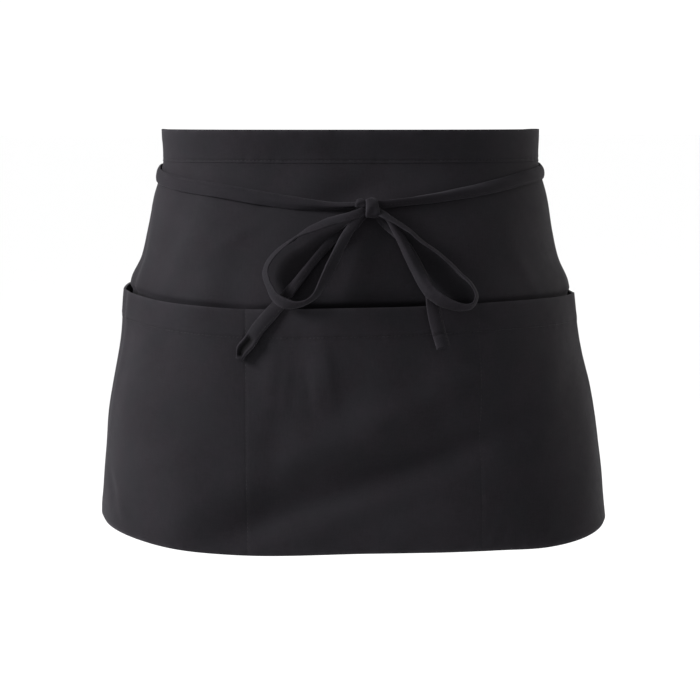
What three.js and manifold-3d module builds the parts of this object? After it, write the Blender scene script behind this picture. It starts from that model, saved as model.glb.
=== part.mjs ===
// A short waist apron with three pockets, in the form that it takes when it is worn: the cloth curves
// round the waist and flares to the hem, and its ties cross behind the back and meet in a bow in front.
// Millimetres, +Z up. The front faces -Y, +X is the viewer's right, and the origin is the middle of the
// waist at half the height of the waistband.

import * as THREE from 'three';
import { mergeVertices } from 'three/addons/utils/BufferGeometryUtils.js';
import Module from 'manifold-3d';

const wasm = await Module();
wasm.setup();

// Driving dimensions of the cut cloth
const CLOTH_WIDTH = 610;
const CLOTH_LENGTH = 305;
const CORNER_RADIUS = 60;
const BAND_HEIGHT = 24;
const POCKET_DEPTH = 175;
const POCKET_HEM = 21;
const CENTRE_POCKET_WIDTH = 167;

// Thickness of the layers, and the clearance that neighbours keep
const SKIRT_CLOTH = 1.2;
const BAND_CLOTH = 2.4;
const POCKET_CLOTH = 1.2;
const POCKET_HEM_CLOTH = 2.0;
const CLEARANCE = 0.3;

// Driving dimensions of the worn form, which the section table below follows
const WAIST_HALF_WIDTH = 140.5;
const WAIST_FRONT_DEPTH = 82.5;
const WAIST_BACK_DEPTH = 87;
const HEM_HALF_WIDTH = 188;
const HEM_FRONT_DEPTH = 135;
const HEM_BACK_DEPTH = 112;

// How far the middle of each pocket mouth stands off the skirt, and how unevenly the cloth hangs
const CENTRE_POCKET_GAPE = 13;
const SIDE_POCKET_GAPE = 9;
const GAPE_SHARPNESS = 3;
const GAPE_FADE = 1.5;
const UNEVEN_HANG = 4;
const FOLD_HEIGHT = 4;

// Driving dimensions of the ties and the bow
const STRAP_WIDTH = 10;
const STRAP_CLOTH = 1.6;
const KNOT_ACROSS = 7;
const KNOT_DOWN = 57;
const KNOT_WIDTH = 11;
const KNOT_HEIGHT = 13;
const KNOT_THICKNESS = 10;
const KNOT_SQUARENESS = 2.8;
const KNOT_STANDOFF = 8;
const LOOP_REACH = 74;
const LOOP_DROP = 71;
const TAIL_REACH = 94;
const TAIL_DROP = 109;
const BOW_STANDOFF = 10;

// How finely the pieces are divided
const CLOTH_COLUMNS = 54;
const ROWS_ABOVE_MOUTH = 6;
const ROWS_BELOW_HEM = 8;
const CORNER_COLUMNS = 6;
const STRAP_STEP = 7;
const KNOT_COLUMNS = 24;
const KNOT_ROWS = 14;

// How far to either side the direction of the cloth, and of a strap's route, is felt out
const PROBE = 1.5;
const ROUTE_PROBE = 0.002;

const HALF_WIDTH = CLOTH_WIDTH / 2;
const MOUTH_DOWN = CLOTH_LENGTH - POCKET_DEPTH;

// Worn sections by share of the cloth's length. Each column but the last runs from 0 at the waist's size
// to 1 at the hem's. The last is the exponent of the section: 2 is an ellipse, more is squarer.
const SECTIONS = [
  { down: 0.00, width: 0.00, front: 0.00, back: 0.00, square: 2.5 },
  { down: 0.08, width: 0.01, front: 0.00, back: 0.08, square: 2.5 },
  { down: 0.17, width: 0.15, front: 0.20, back: 0.17, square: 2.4 },
  { down: 0.26, width: 0.26, front: 0.40, back: 0.26, square: 2.3 },
  { down: 0.33, width: 0.36, front: 0.55, back: 0.33, square: 2.2 },
  { down: 0.40, width: 0.53, front: 0.70, back: 0.40, square: 2.15 },
  { down: 0.55, width: 0.65, front: 0.80, back: 0.55, square: 2.45 },
  { down: 0.75, width: 0.86, front: 0.89, back: 0.75, square: 3.0 },
  { down: 1.00, width: 1.00, front: 1.00, back: 1.00, square: 3.6 },
];

// How far the pocket mouth and the hem hang above their even line, in shares of UNEVEN_HANG, by share
// of the half width
const HANG = [
  { across: -1.0, mouth: -1.0, hem: 0.6 },
  { across: -0.75, mouth: -1.1, hem: 0.55 },
  { across: -0.6, mouth: -0.2, hem: 0.5 },
  { across: -0.3, mouth: -0.4, hem: 0.0 },
  { across: 0.0, mouth: -0.2, hem: 0.6 },
  { across: 0.3, mouth: 0.7, hem: 0.1 },
  { across: 0.45, mouth: 0.9, hem: -0.6 },
  { across: 0.6, mouth: -0.1, hem: -0.8 },
  { across: 0.78, mouth: -1.7, hem: -0.6 },
  { across: 1.0, mouth: -1.2, hem: 0.0 },
];

// Broad soft folds: middle by share of the half width and of the length, the direction in which each
// runs in degrees up from the horizontal, its length and width as shares of the cloth's length, and
// its height in shares of FOLD_HEIGHT, inwards where negative
const FOLDS = [
  { across: 0.02, down: 0.69, run: 22, length: 0.30, width: 0.055, height: 0.55 },
  { across: 0.05, down: 0.83, run: 22, length: 0.30, width: 0.060, height: -0.85 },
  { across: 0.12, down: 0.95, run: 12, length: 0.20, width: 0.060, height: 0.60 },
  { across: -0.42, down: 0.88, run: 80, length: 0.16, width: 0.060, height: 0.50 },
  { across: -0.21, down: 0.56, run: 88, length: 0.10, width: 0.030, height: 0.40 },
  { across: -0.10, down: 0.56, run: 92, length: 0.10, width: 0.030, height: 0.40 },
  { across: -0.44, down: 0.31, run: 55, length: 0.12, width: 0.045, height: 0.45 },
  { across: 0.62, down: 0.80, run: 70, length: 0.18, width: 0.060, height: 0.45 },
];

// A tie's run from its end of the waistband, round the back and the opposite side to the knot: `along`
// is the share of that run, `down` the share of the way from mid band to the knot, `out` the distance
// of its middle from the inner face of the skirt in straps' thicknesses, `turn` how far its face is
// turned on edge in degrees, `wide` its width where the knot gathers it
const UNDER_TIE = [
  { along: 0.00, down: 0.00, out: 0.75, turn: 0, wide: 1 },
  { along: 0.04, down: 0.03, out: 0.90, turn: 0, wide: 1 },
  { along: 0.10, down: 0.12, out: 1.00, turn: 0, wide: 1 },
  { along: 0.16, down: 0.22, out: 1.10, turn: 0, wide: 1 },
  { along: 0.24, down: 0.34, out: 1.30, turn: 0, wide: 1 },
  { along: 0.33, down: 0.42, out: 1.60, turn: 0, wide: 1 },
  { along: 0.45, down: 0.43, out: 1.70, turn: 0, wide: 1 },
  { along: 0.60, down: 0.43, out: 1.70, turn: 0, wide: 1 },
  { along: 0.72, down: 0.54, out: 1.75, turn: 0, wide: 1 },
  { along: 0.80, down: 0.69, out: 1.80, turn: 4, wide: 1 },
  { along: 0.865, down: 0.80, out: 1.90, turn: 8, wide: 1 },
  { along: 0.93, down: 0.91, out: 2.60, turn: 16, wide: 1 },
  { along: 0.965, down: 0.98, out: 3.90, turn: 55, wide: 0.85 },
  { along: 1.00, down: 0.98, out: 4.80, turn: 75, wide: 0.6 },
];
const CROSSING = { along: 0.165, width: 0.13 };
const CROSSING_LIFT = 1.6;
const OVER_TIE = UNDER_TIE.map((row) => ({
  ...row,
  out: row.out + CROSSING_LIFT * Math.exp(-(((row.along - CROSSING.along) / CROSSING.width) ** 4)),
}));

// The bow's strands from the knot outwards: `across` and `down` in shares of the loops' reach and drop,
// or of the tails', `out` in shares of BOW_STANDOFF, then the turn and the width as above, and the
// cloth's thickness, which is more in the folded end of a tail
const LEFT_LOOP = [
  { across: 0.00, down: 0.03, out: 0.95, turn: 85, wide: 0.6 },
  { across: -0.13, down: 0.07, out: 0.98, turn: 80, wide: 0.6 },
  { across: -0.26, down: 0.13, out: 1.02, turn: 62, wide: 0.9 },
  { across: -0.40, down: 0.18, out: 1.02, turn: 52, wide: 1 },
  { across: -0.60, down: 0.27, out: 1.02, turn: 60, wide: 1 },
  { across: -0.72, down: 0.35, out: 1.04, turn: 80, wide: 1 },
  { across: -0.87, down: 0.46, out: 1.06, turn: 80, wide: 1 },
  { across: -0.95, down: 0.55, out: 1.08, turn: 75, wide: 1 },
  { across: -1.00, down: 0.69, out: 1.12, turn: 70, wide: 1 },
  { across: -0.97, down: 0.82, out: 1.22, turn: 75, wide: 1 },
  { across: -0.90, down: 0.94, out: 1.34, turn: 84, wide: 1 },
  { across: -0.79, down: 1.00, out: 1.36, turn: 88, wide: 1 },
  { across: -0.66, down: 0.99, out: 1.22, turn: 88, wide: 1 },
  { across: -0.56, down: 0.94, out: 1.10, turn: 84, wide: 1 },
  { across: -0.49, down: 0.85, out: 1.08, turn: 72, wide: 1 },
  { across: -0.42, down: 0.71, out: 1.05, turn: 60, wide: 1 },
  { across: -0.35, down: 0.55, out: 1.02, turn: 55, wide: 1 },
  { across: -0.28, down: 0.39, out: 1.00, turn: 62, wide: 0.9 },
  { across: -0.19, down: 0.25, out: 0.98, turn: 72, wide: 0.7 },
  { across: -0.10, down: 0.14, out: 0.95, turn: 80, wide: 0.6 },
  { across: -0.02, down: 0.06, out: 0.95, turn: 84, wide: 0.6 },
];
const RIGHT_LOOP = [
  { across: 0.00, down: 0.03, out: 0.95, turn: -85, wide: 0.6 },
  { across: 0.11, down: 0.09, out: 0.98, turn: -80, wide: 0.6 },
  { across: 0.22, down: 0.18, out: 1.02, turn: -75, wide: 0.9 },
  { across: 0.35, down: 0.29, out: 1.04, turn: -74, wide: 1 },
  { across: 0.46, down: 0.40, out: 1.05, turn: -73, wide: 1 },
  { across: 0.60, down: 0.51, out: 1.05, turn: -73, wide: 1 },
  { across: 0.72, down: 0.63, out: 1.04, turn: -74, wide: 1 },
  { across: 0.83, down: 0.76, out: 1.02, turn: -76, wide: 1 },
  { across: 0.94, down: 0.87, out: 1.00, turn: -78, wide: 1 },
  { across: 1.00, down: 0.98, out: 1.02, turn: -76, wide: 1 },
  { across: 0.95, down: 1.07, out: 1.08, turn: -66, wide: 1 },
  { across: 0.85, down: 1.10, out: 1.22, turn: -52, wide: 1 },
  { across: 0.72, down: 1.07, out: 1.40, turn: -45, wide: 1 },
  { across: 0.60, down: 1.02, out: 1.54, turn: -50, wide: 1 },
  { across: 0.51, down: 0.94, out: 1.54, turn: -60, wide: 1 },
  { across: 0.445, down: 0.83, out: 1.40, turn: -66, wide: 1 },
  { across: 0.38, down: 0.68, out: 1.22, turn: -66, wide: 1 },
  { across: 0.31, down: 0.53, out: 1.08, turn: -68, wide: 1 },
  { across: 0.24, down: 0.38, out: 1.02, turn: -70, wide: 0.9 },
  { across: 0.16, down: 0.25, out: 0.98, turn: -74, wide: 0.7 },
  { across: 0.08, down: 0.14, out: 0.95, turn: -80, wide: 0.6 },
  { across: 0.02, down: 0.06, out: 0.95, turn: -84, wide: 0.6 },
];
const LEFT_TAIL = [
  { across: -0.02, down: 0.02, out: 0.42, turn: 0, wide: 0.55, thick: 1 },
  { across: -0.08, down: 0.07, out: 0.38, turn: 0, wide: 0.6, thick: 1 },
  { across: -0.19, down: 0.15, out: 0.34, turn: 10, wide: 0.9, thick: 1 },
  { across: -0.32, down: 0.22, out: 0.46, turn: 30, wide: 1, thick: 1 },
  { across: -0.40, down: 0.29, out: 0.64, turn: 60, wide: 1, thick: 1 },
  { across: -0.47, down: 0.38, out: 0.72, turn: 75, wide: 1, thick: 1 },
  { across: -0.54, down: 0.46, out: 0.70, turn: 65, wide: 1, thick: 1 },
  { across: -0.61, down: 0.54, out: 0.64, turn: 38, wide: 1, thick: 1 },
  { across: -0.68, down: 0.62, out: 0.64, turn: 12, wide: 1, thick: 1 },
  { across: -0.76, down: 0.70, out: 0.72, turn: 0, wide: 1, thick: 1 },
  { across: -0.86, down: 0.80, out: 0.72, turn: 0, wide: 1, thick: 1 },
  { across: -0.93, down: 0.89, out: 0.66, turn: 0, wide: 1, thick: 1 },
  { across: -0.97, down: 0.93, out: 0.62, turn: 0, wide: 1, thick: 1.6 },
  { across: -1.00, down: 1.00, out: 0.60, turn: 0, wide: 1, thick: 1.6 },
];
const RIGHT_TAIL = [
  { across: 0.02, down: 0.02, out: 0.42, turn: 0, wide: 0.55, thick: 1 },
  { across: 0.08, down: 0.09, out: 0.38, turn: 0, wide: 0.6, thick: 1 },
  { across: 0.15, down: 0.18, out: 0.30, turn: 0, wide: 0.9, thick: 1 },
  { across: 0.23, down: 0.28, out: 0.30, turn: 0, wide: 1, thick: 1 },
  { across: 0.30, down: 0.38, out: 0.34, turn: 0, wide: 1, thick: 1 },
  { across: 0.36, down: 0.50, out: 0.46, turn: 0, wide: 1, thick: 1 },
  { across: 0.41, down: 0.60, out: 0.74, turn: 0, wide: 1, thick: 1 },
  { across: 0.43, down: 0.68, out: 1.00, turn: 0, wide: 1, thick: 1 },
  { across: 0.45, down: 0.78, out: 0.96, turn: 0, wide: 1, thick: 1 },
  { across: 0.48, down: 0.86, out: 0.88, turn: 0, wide: 1, thick: 1 },
  { across: 0.49, down: 0.89, out: 0.86, turn: 0, wide: 1, thick: 1.6 },
  { across: 0.52, down: 0.99, out: 0.80, turn: 0, wide: 1, thick: 1.6 },
];

// Mixes two values by a share
const mix = (from, to, share) => from + (to - from) * share;

// Reads one column of a table at a place on its key column, as a smooth curve through the rows
function smoothColumn(rows, key, column, place) {
  const last = rows.length - 1;
  let index = 0;
  while (index < last - 1 && rows[index + 1][key] < place) {
    index += 1;
  }
  const slope = (row) => {
    const before = rows[Math.max(row - 1, 0)];
    const after = rows[Math.min(row + 1, last)];
    return (after[column] - before[column]) / (after[key] - before[key]);
  };
  const start = rows[index];
  const end = rows[index + 1];
  const step = end[key] - start[key];
  const t = THREE.MathUtils.clamp((place - start[key]) / step, 0, 1);
  const rise = t * t * (3 - 2 * t);
  const startPull = t * (1 - t) * (1 - t) * step * slope(index);
  const endPull = t * t * (1 - t) * step * slope(index + 1);
  return mix(start[column], end[column], rise) + startPull - endPull;
}

// The closed section of the worn form at one level, as points one degree apart from front centre to
// back centre, with the length of cloth up to each
const sectionStore = new Map();
function sectionAt(down) {
  if (!sectionStore.has(down)) {
    const level = down / CLOTH_LENGTH;
    const column = (name) => smoothColumn(SECTIONS, 'down', name, level);
    const halfWidth = mix(WAIST_HALF_WIDTH, HEM_HALF_WIDTH, column('width'));
    const front = mix(WAIST_FRONT_DEPTH, HEM_FRONT_DEPTH, column('front'));
    const back = mix(WAIST_BACK_DEPTH, HEM_BACK_DEPTH, column('back'));
    const square = column('square');
    const points = [];
    let length = 0;
    for (let degree = 0; degree <= 180; degree += 1) {
      const angle = THREE.MathUtils.degToRad(degree);
      const depth = degree < 90 ? front : back;
      const sine = Math.sin(angle);
      const cosine = Math.abs(Math.cos(angle));
      const reach = ((sine / halfWidth) ** square + (cosine / depth) ** square) ** (-1 / square);
      const x = reach * sine;
      const y = -reach * Math.cos(angle);
      const before = points[points.length - 1];
      length += before ? Math.hypot(x - before.x, y - before.y) : 0;
      points.push({ x, y, length });
    }
    sectionStore.set(down, points);
  }
  return sectionStore.get(down);
}

// Half the girth of the worn form at one level, from front centre to back centre
function halfGirthAt(down) {
  return sectionAt(down).at(-1).length;
}

// The place in plan of cloth that lies `across` from front centre at one level, carried on past back
// centre to the other side
function planPoint(across, down) {
  const points = sectionAt(Math.max(down, 0));
  const halfGirth = points[points.length - 1].length;
  const pastBack = Math.abs(across) > halfGirth;
  const length = pastBack ? 2 * halfGirth - Math.abs(across) : Math.abs(across);
  const side = Math.sign(across) * (pastBack ? -1 : 1);
  let low = 0;
  let high = points.length - 1;
  while (high - low > 1) {
    const middle = (low + high) >> 1;
    if (points[middle].length > length) {
      high = middle;
    } else {
      low = middle;
    }
  }
  const share = (length - points[low].length) / (points[high].length - points[low].length);
  return {
    x: side * mix(points[low].x, points[high].x, share),
    y: mix(points[low].y, points[high].y, share),
  };
}

// How far the cloth hangs above its even line
function hangLift(across, down) {
  const share = THREE.MathUtils.clamp(across / HALF_WIDTH, -1, 1);
  const belowMouth = THREE.MathUtils.smoothstep(down, MOUTH_DOWN, CLOTH_LENGTH);
  const aboveMouth = THREE.MathUtils.smoothstep(down, BAND_HEIGHT, MOUTH_DOWN);
  const mouth = smoothColumn(HANG, 'across', 'mouth', share) * aboveMouth * (1 - belowMouth);
  const hem = smoothColumn(HANG, 'across', 'hem', share) * belowMouth;
  return UNEVEN_HANG * (mouth + hem);
}

// A point on the inner face of the skirt, before its folds: the cloth hangs its real length from the
// waist, less the drop that its slope outwards takes up
function evenPoint(across, down) {
  const plan = planPoint(across, down);
  const top = planPoint(across, 0);
  const outwards = Math.hypot(plan.x - top.x, plan.y - top.y);
  const drop = Math.sign(down) * Math.sqrt(Math.max(down * down - outwards * outwards, 0));
  return new THREE.Vector3(plan.x, plan.y, BAND_HEIGHT / 2 - drop + hangLift(across, down));
}

// The height of the folds at one place of the cloth
function foldHeight(across, down) {
  let height = 0;
  for (const fold of FOLDS) {
    const angle = THREE.MathUtils.degToRad(fold.run);
    const right = across - fold.across * HALF_WIDTH;
    const up = fold.down * CLOTH_LENGTH - down;
    const alongFold = (right * Math.cos(angle) + up * Math.sin(angle)) / (fold.length * CLOTH_LENGTH);
    const offFold = (up * Math.cos(angle) - right * Math.sin(angle)) / (fold.width * CLOTH_LENGTH);
    height += FOLD_HEIGHT * fold.height * Math.exp(-(alongFold ** 2) - offFold ** 2);
  }
  return height;
}

// The frame of the worn cloth at one place: the outward, sideways and upward directions there
function clothFrame(across, down) {
  const sideways = evenPoint(across + PROBE, down).sub(evenPoint(across - PROBE, down)).normalize();
  const upward = evenPoint(across, down - PROBE).sub(evenPoint(across, down + PROBE));
  const outward = new THREE.Vector3().crossVectors(sideways, upward).normalize();
  return { sideways, outward, upward: new THREE.Vector3().crossVectors(outward, sideways) };
}

// The worn place of a point of the flat cut: `across` from front centre, `down` from the top edge and
// `out` from the inner face of the skirt
function wornPoint(across, down, out) {
  const { outward } = clothFrame(across, down);
  return evenPoint(across, down).addScaledVector(outward, out + foldHeight(across, down));
}

// The pockets between the seams: the span of each mouth, outwards from the seam nearer the front, and
// how early along that span it stands off furthest, where 1 is its middle and less is nearer the front
const SIDE_POCKET_WIDTH = HALF_WIDTH - CENTRE_POCKET_WIDTH / 2;
const POCKETS = {
  centre: { from: -CENTRE_POCKET_WIDTH / 2, width: CENTRE_POCKET_WIDTH, gape: CENTRE_POCKET_GAPE, skew: 1 },
  side: { from: CENTRE_POCKET_WIDTH / 2, width: SIDE_POCKET_WIDTH, gape: SIDE_POCKET_GAPE, skew: 0.45 },
};

// How far the pocket panel stands off the skirt: most at the mouths, nothing at the seams
function pocketGape(across, down) {
  const inCentre = Math.abs(across) <= CENTRE_POCKET_WIDTH / 2;
  const pocket = inCentre ? POCKETS.centre : POCKETS.side;
  const reach = inCentre ? across : Math.abs(across);
  const share = THREE.MathUtils.clamp((reach - pocket.from) / pocket.width, 0, 1);
  const between = Math.sin(Math.PI * share ** pocket.skew) ** GAPE_SHARPNESS;
  const above = THREE.MathUtils.clamp((CLOTH_LENGTH - down) / POCKET_DEPTH, 0, 1);
  return pocket.gape * Math.max(between, 0) * above ** GAPE_FADE;
}

// The lower edge of the cut, which rises round the two bottom corners
function cutLength(across) {
  const intoCorner = Math.max(Math.abs(across) - (HALF_WIDTH - CORNER_RADIUS), 0);
  const arc = Math.sqrt(Math.max(CORNER_RADIUS ** 2 - intoCorner ** 2, 0));
  return CLOTH_LENGTH - (CORNER_RADIUS - arc);
}

// Places of the columns of vertices: even between the corners, and even by angle round each corner
function columnPlaces() {
  const straight = HALF_WIDTH - CORNER_RADIUS;
  const places = [];
  const inner = CLOTH_COLUMNS - 2 * CORNER_COLUMNS;
  for (let index = 0; index <= CLOTH_COLUMNS; index += 1) {
    const fromLeft = Math.min(index, CORNER_COLUMNS) / CORNER_COLUMNS;
    const fromRight = Math.min(CLOTH_COLUMNS - index, CORNER_COLUMNS) / CORNER_COLUMNS;
    if (fromLeft < 1) {
      places.push(-straight - CORNER_RADIUS * Math.cos((fromLeft * Math.PI) / 2));
    } else if (fromRight < 1) {
      places.push(straight + CORNER_RADIUS * Math.cos((fromRight * Math.PI) / 2));
    } else {
      places.push(mix(-straight, straight, (index - CORNER_COLUMNS) / inner));
    }
  }
  return places;
}

// A closed sheet of cloth: a plane of triangles, a copy of it behind, and walls along its edges. `place`
// takes the shares along the plane and up it, and 1 on the outer face or 0 on the inner one.
function sheetBody(alongSteps, upSteps, place) {
  const plane = new THREE.PlaneGeometry(1, 1, alongSteps, upSteps);
  const flat = plane.attributes.position;
  const corners = [];
  for (const outer of [1, 0]) {
    for (let index = 0; index < flat.count; index += 1) {
      corners.push(...place(flat.getX(index) + 0.5, flat.getY(index) + 0.5, outer).toArray());
    }
  }
  const faces = [];
  const edges = new Map();
  for (let index = 0; index < plane.index.count; index += 3) {
    const [a, b, c] = plane.index.array.slice(index, index + 3);
    faces.push(a, b, c, a + flat.count, c + flat.count, b + flat.count);
    for (const [from, to] of [[a, b], [b, c], [c, a]]) {
      edges.set(`${from} ${to}`, [from, to]);
    }
  }
  for (const [from, to] of edges.values()) {
    if (!edges.has(`${to} ${from}`)) {
      faces.push(to, from, from + flat.count, to, from + flat.count, to + flat.count);
    }
  }
  const geometry = new THREE.BufferGeometry();
  geometry.setAttribute('position', new THREE.Float32BufferAttribute(corners, 3));
  geometry.setIndex(faces);
  return geometry;
}

// A closed geometry as a solid that can be cut
function toSolid(geometry) {
  return new wasm.Manifold(new wasm.Mesh({
    numProp: 3,
    vertProperties: new Float32Array(geometry.attributes.position.array),
    triVerts: new Uint32Array(geometry.index.array),
  }));
}

// A solid as a geometry again
function toGeometry(solid) {
  const { vertProperties, triVerts } = solid.getMesh();
  const geometry = new THREE.BufferGeometry();
  geometry.setAttribute('position', new THREE.BufferAttribute(new Float32Array(vertProperties), 3));
  geometry.setIndex(new THREE.BufferAttribute(new Uint32Array(triVerts), 1));
  return geometry;
}

// Rows of vertices down one column, which the two panels share so that their faces stay parallel: from
// `top` to the pocket mouth, the hem along the mouth with the step below it, and on to the cut's edge
function rowPlaces(across, top) {
  const hemLine = MOUTH_DOWN + POCKET_HEM;
  const belowHem = hemLine + (POCKET_HEM_CLOTH - POCKET_CLOTH);
  const lowest = cutLength(across);
  const rows = [];
  for (let index = 0; index < ROWS_ABOVE_MOUTH; index += 1) {
    rows.push(mix(top, MOUTH_DOWN, index / ROWS_ABOVE_MOUTH));
  }
  rows.push(MOUTH_DOWN, hemLine);
  for (let index = 0; index <= ROWS_BELOW_HEM; index += 1) {
    rows.push(mix(belowHem, lowest, index / ROWS_BELOW_HEM));
  }
  return rows;
}
const SKIRT_ROWS = ROWS_ABOVE_MOUTH + ROWS_BELOW_HEM + 2;
const POCKET_ROWS = ROWS_BELOW_HEM + 2;

// The main panel, from under the waistband to the hem
function skirtPanel() {
  const places = columnPlaces();
  return sheetBody(CLOTH_COLUMNS, SKIRT_ROWS, (along, up, outer) => {
    const across = places[Math.round(along * CLOTH_COLUMNS)];
    const rows = rowPlaces(across, BAND_HEIGHT + CLEARANCE);
    const down = rows[Math.round((1 - up) * SKIRT_ROWS)];
    return wornPoint(across, down, outer * SKIRT_CLOTH);
  });
}

// The folded band along the top edge
function waistband() {
  const places = columnPlaces();
  return sheetBody(CLOTH_COLUMNS, 1, (along, up, outer) => {
    const across = places[Math.round(along * CLOTH_COLUMNS)];
    return wornPoint(across, mix(BAND_HEIGHT, 0, up), outer * BAND_CLOTH);
  });
}

// The pocket panel over the lower part of the skirt, with a thicker turned hem along its mouth
function pocketPanel() {
  const places = columnPlaces();
  return sheetBody(CLOTH_COLUMNS, POCKET_ROWS, (along, up, outer) => {
    const across = places[Math.round(along * CLOTH_COLUMNS)];
    const row = Math.round((1 - up) * POCKET_ROWS);
    const down = rowPlaces(across, BAND_HEIGHT + CLEARANCE)[ROWS_ABOVE_MOUTH + row];
    const cloth = down <= MOUTH_DOWN + POCKET_HEM ? POCKET_HEM_CLOTH : POCKET_CLOTH;
    const inner = SKIRT_CLOTH + CLEARANCE + pocketGape(across, down);
    return wornPoint(across, down, inner + outer * cloth);
  });
}

// A strap along a smooth route through the rows of a table. `placeOf` gives the place of a row on the
// route, and `toCloth` the across, down and out of any point of it, so that the strap follows the worn
// form between the rows as well as at them.
function strap(rows, placeOf, toCloth) {
  const route = new THREE.CatmullRomCurve3(rows.map(placeOf), false, 'centripetal');
  const steps = Math.round(route.getLength() / STRAP_STEP);
  const clothPlace = (t) => toCloth(route.getPoint(THREE.MathUtils.clamp(t, 0, 1)));
  const middle = (t) => wornPoint(...clothPlace(t));
  return sheetBody(steps, 1, (along, up, outer) => {
    const t = route.getUtoTmapping(along);
    const index = Math.min(Math.floor(t * (rows.length - 1)), rows.length - 2);
    const share = t * (rows.length - 1) - index;
    const column = (name) => mix(rows[index][name] ?? 1, rows[index + 1][name] ?? 1, share);
    const tangent = middle(t + ROUTE_PROBE).sub(middle(t - ROUTE_PROBE)).normalize();
    const [across, down] = clothPlace(t);
    const { outward } = clothFrame(across, down);
    outward.addScaledVector(tangent, -outward.dot(tangent)).normalize();
    const face = outward.applyAxisAngle(tangent, THREE.MathUtils.degToRad(column('turn')));
    const sideways = new THREE.Vector3().crossVectors(face, tangent);
    return middle(t)
      .addScaledVector(sideways, (up - 0.5) * STRAP_WIDTH * column('wide'))
      .addScaledVector(face, (outer - 0.5) * STRAP_CLOTH * column('thick'));
  });
}

// A tie from one end of the waistband to the knot; `side` is -1 for the left end and 1 for the right.
// Its place round the body is kept as a share of the half girth, where 1 is back centre.
function tieRun(rows, side) {
  const halfGirth = halfGirthAt(KNOT_DOWN / 2);
  const start = (HALF_WIDTH + CLEARANCE) / halfGirthAt(BAND_HEIGHT / 2);
  const end = 2 + (side * KNOT_ACROSS) / halfGirthAt(KNOT_DOWN);
  const placeOf = (row) => new THREE.Vector3(
    side * mix(start, end, row.along) * halfGirth,
    mix(BAND_HEIGHT / 2, KNOT_DOWN, row.down),
    row.out * STRAP_CLOTH,
  );
  const toCloth = ({ x, y, z }) => {
    const around = x / halfGirth;
    const wrapped = Math.abs(around) > 1 ? around - 2 * side : around;
    return [wrapped * halfGirthAt(y), y, z];
  };
  return toSolid(strap(rows, placeOf, toCloth));
}

// One strand of the bow, from the knot outwards
function bowStrand(rows, reach, drop) {
  const placeOf = (row) => new THREE.Vector3(
    KNOT_ACROSS + row.across * reach,
    KNOT_DOWN + row.down * drop,
    row.out * BOW_STANDOFF,
  );
  return toSolid(strap(rows, placeOf, (place) => place.toArray()));
}

// The knot, as a rounded block that stands off the cloth
function knotBody(grow) {
  const geometry = new THREE.SphereGeometry(1, KNOT_COLUMNS, KNOT_ROWS);
  geometry.deleteAttribute('normal');
  geometry.deleteAttribute('uv');
  const ball = mergeVertices(geometry);
  const frame = clothFrame(KNOT_ACROSS, KNOT_DOWN);
  const centre = evenPoint(KNOT_ACROSS, KNOT_DOWN).addScaledVector(frame.outward, KNOT_STANDOFF);
  const position = ball.attributes.position;
  for (let index = 0; index < position.count; index += 1) {
    const corner = new THREE.Vector3().fromBufferAttribute(position, index);
    const [x, y, z] = corner.toArray().map(Math.abs);
    const norm = x ** KNOT_SQUARENESS + y ** KNOT_SQUARENESS + z ** KNOT_SQUARENESS;
    corner.multiplyScalar(norm ** (-1 / KNOT_SQUARENESS));
    const place = centre.clone()
      .addScaledVector(frame.sideways, corner.x * (KNOT_WIDTH / 2 + grow))
      .addScaledVector(frame.upward, corner.y * (KNOT_HEIGHT / 2 + grow))
      .addScaledVector(frame.outward, corner.z * (KNOT_THICKNESS / 2 + grow));
    position.setXYZ(index, ...place.toArray());
  }
  return ball;
}

const apron = new THREE.Group();

// Adds one named piece of the given colour to the apron
function addPiece(name, geometry, color) {
  const material = new THREE.MeshStandardMaterial({ color, roughness: 0.85, metalness: 0 });
  const mesh = new THREE.Mesh(geometry, material);
  mesh.name = name;
  apron.add(mesh);
}

const BLACK_CLOTH = 0x252428;
const BLACK_STRAP = 0x2b292e;

addPiece('waistband', waistband(), BLACK_CLOTH);
addPiece('skirt_panel', skirtPanel(), BLACK_CLOTH);
addPiece('pocket_panel', pocketPanel(), BLACK_CLOTH);
addPiece('bow_knot', knotBody(0), BLACK_STRAP);

// Every strand ends a clearance short of the knot that holds it
const roomForKnot = toSolid(knotBody(CLEARANCE));
const strands = {
  tie_left: tieRun(OVER_TIE, -1),
  tie_right: tieRun(UNDER_TIE, 1),
  bow_loop_left: bowStrand(LEFT_LOOP, LOOP_REACH, LOOP_DROP),
  bow_loop_right: bowStrand(RIGHT_LOOP, LOOP_REACH, LOOP_DROP),
  tail_left: bowStrand(LEFT_TAIL, TAIL_REACH, TAIL_DROP),
  tail_right: bowStrand(RIGHT_TAIL, TAIL_REACH, TAIL_DROP),
};
for (const [name, solid] of Object.entries(strands)) {
  addPiece(name, toGeometry(solid.subtract(roomForKnot)), BLACK_STRAP);
}

export default apron;
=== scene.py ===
"""A short black waist apron with three pockets, in the form that it takes when it is worn.

Metres, +Z up. The front faces -Y, +X is the viewer's right, and the origin is the middle of the waist at
half the height of the waistband. Every cloth piece starts as a flat grid and is laid on the worn form.
"""

import logging
import math
from dataclasses import dataclass, field
from enum import Enum
from typing import NamedTuple, Sequence

import bmesh
import bpy
import numpy as np
from mathutils import Matrix, Vector


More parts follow.
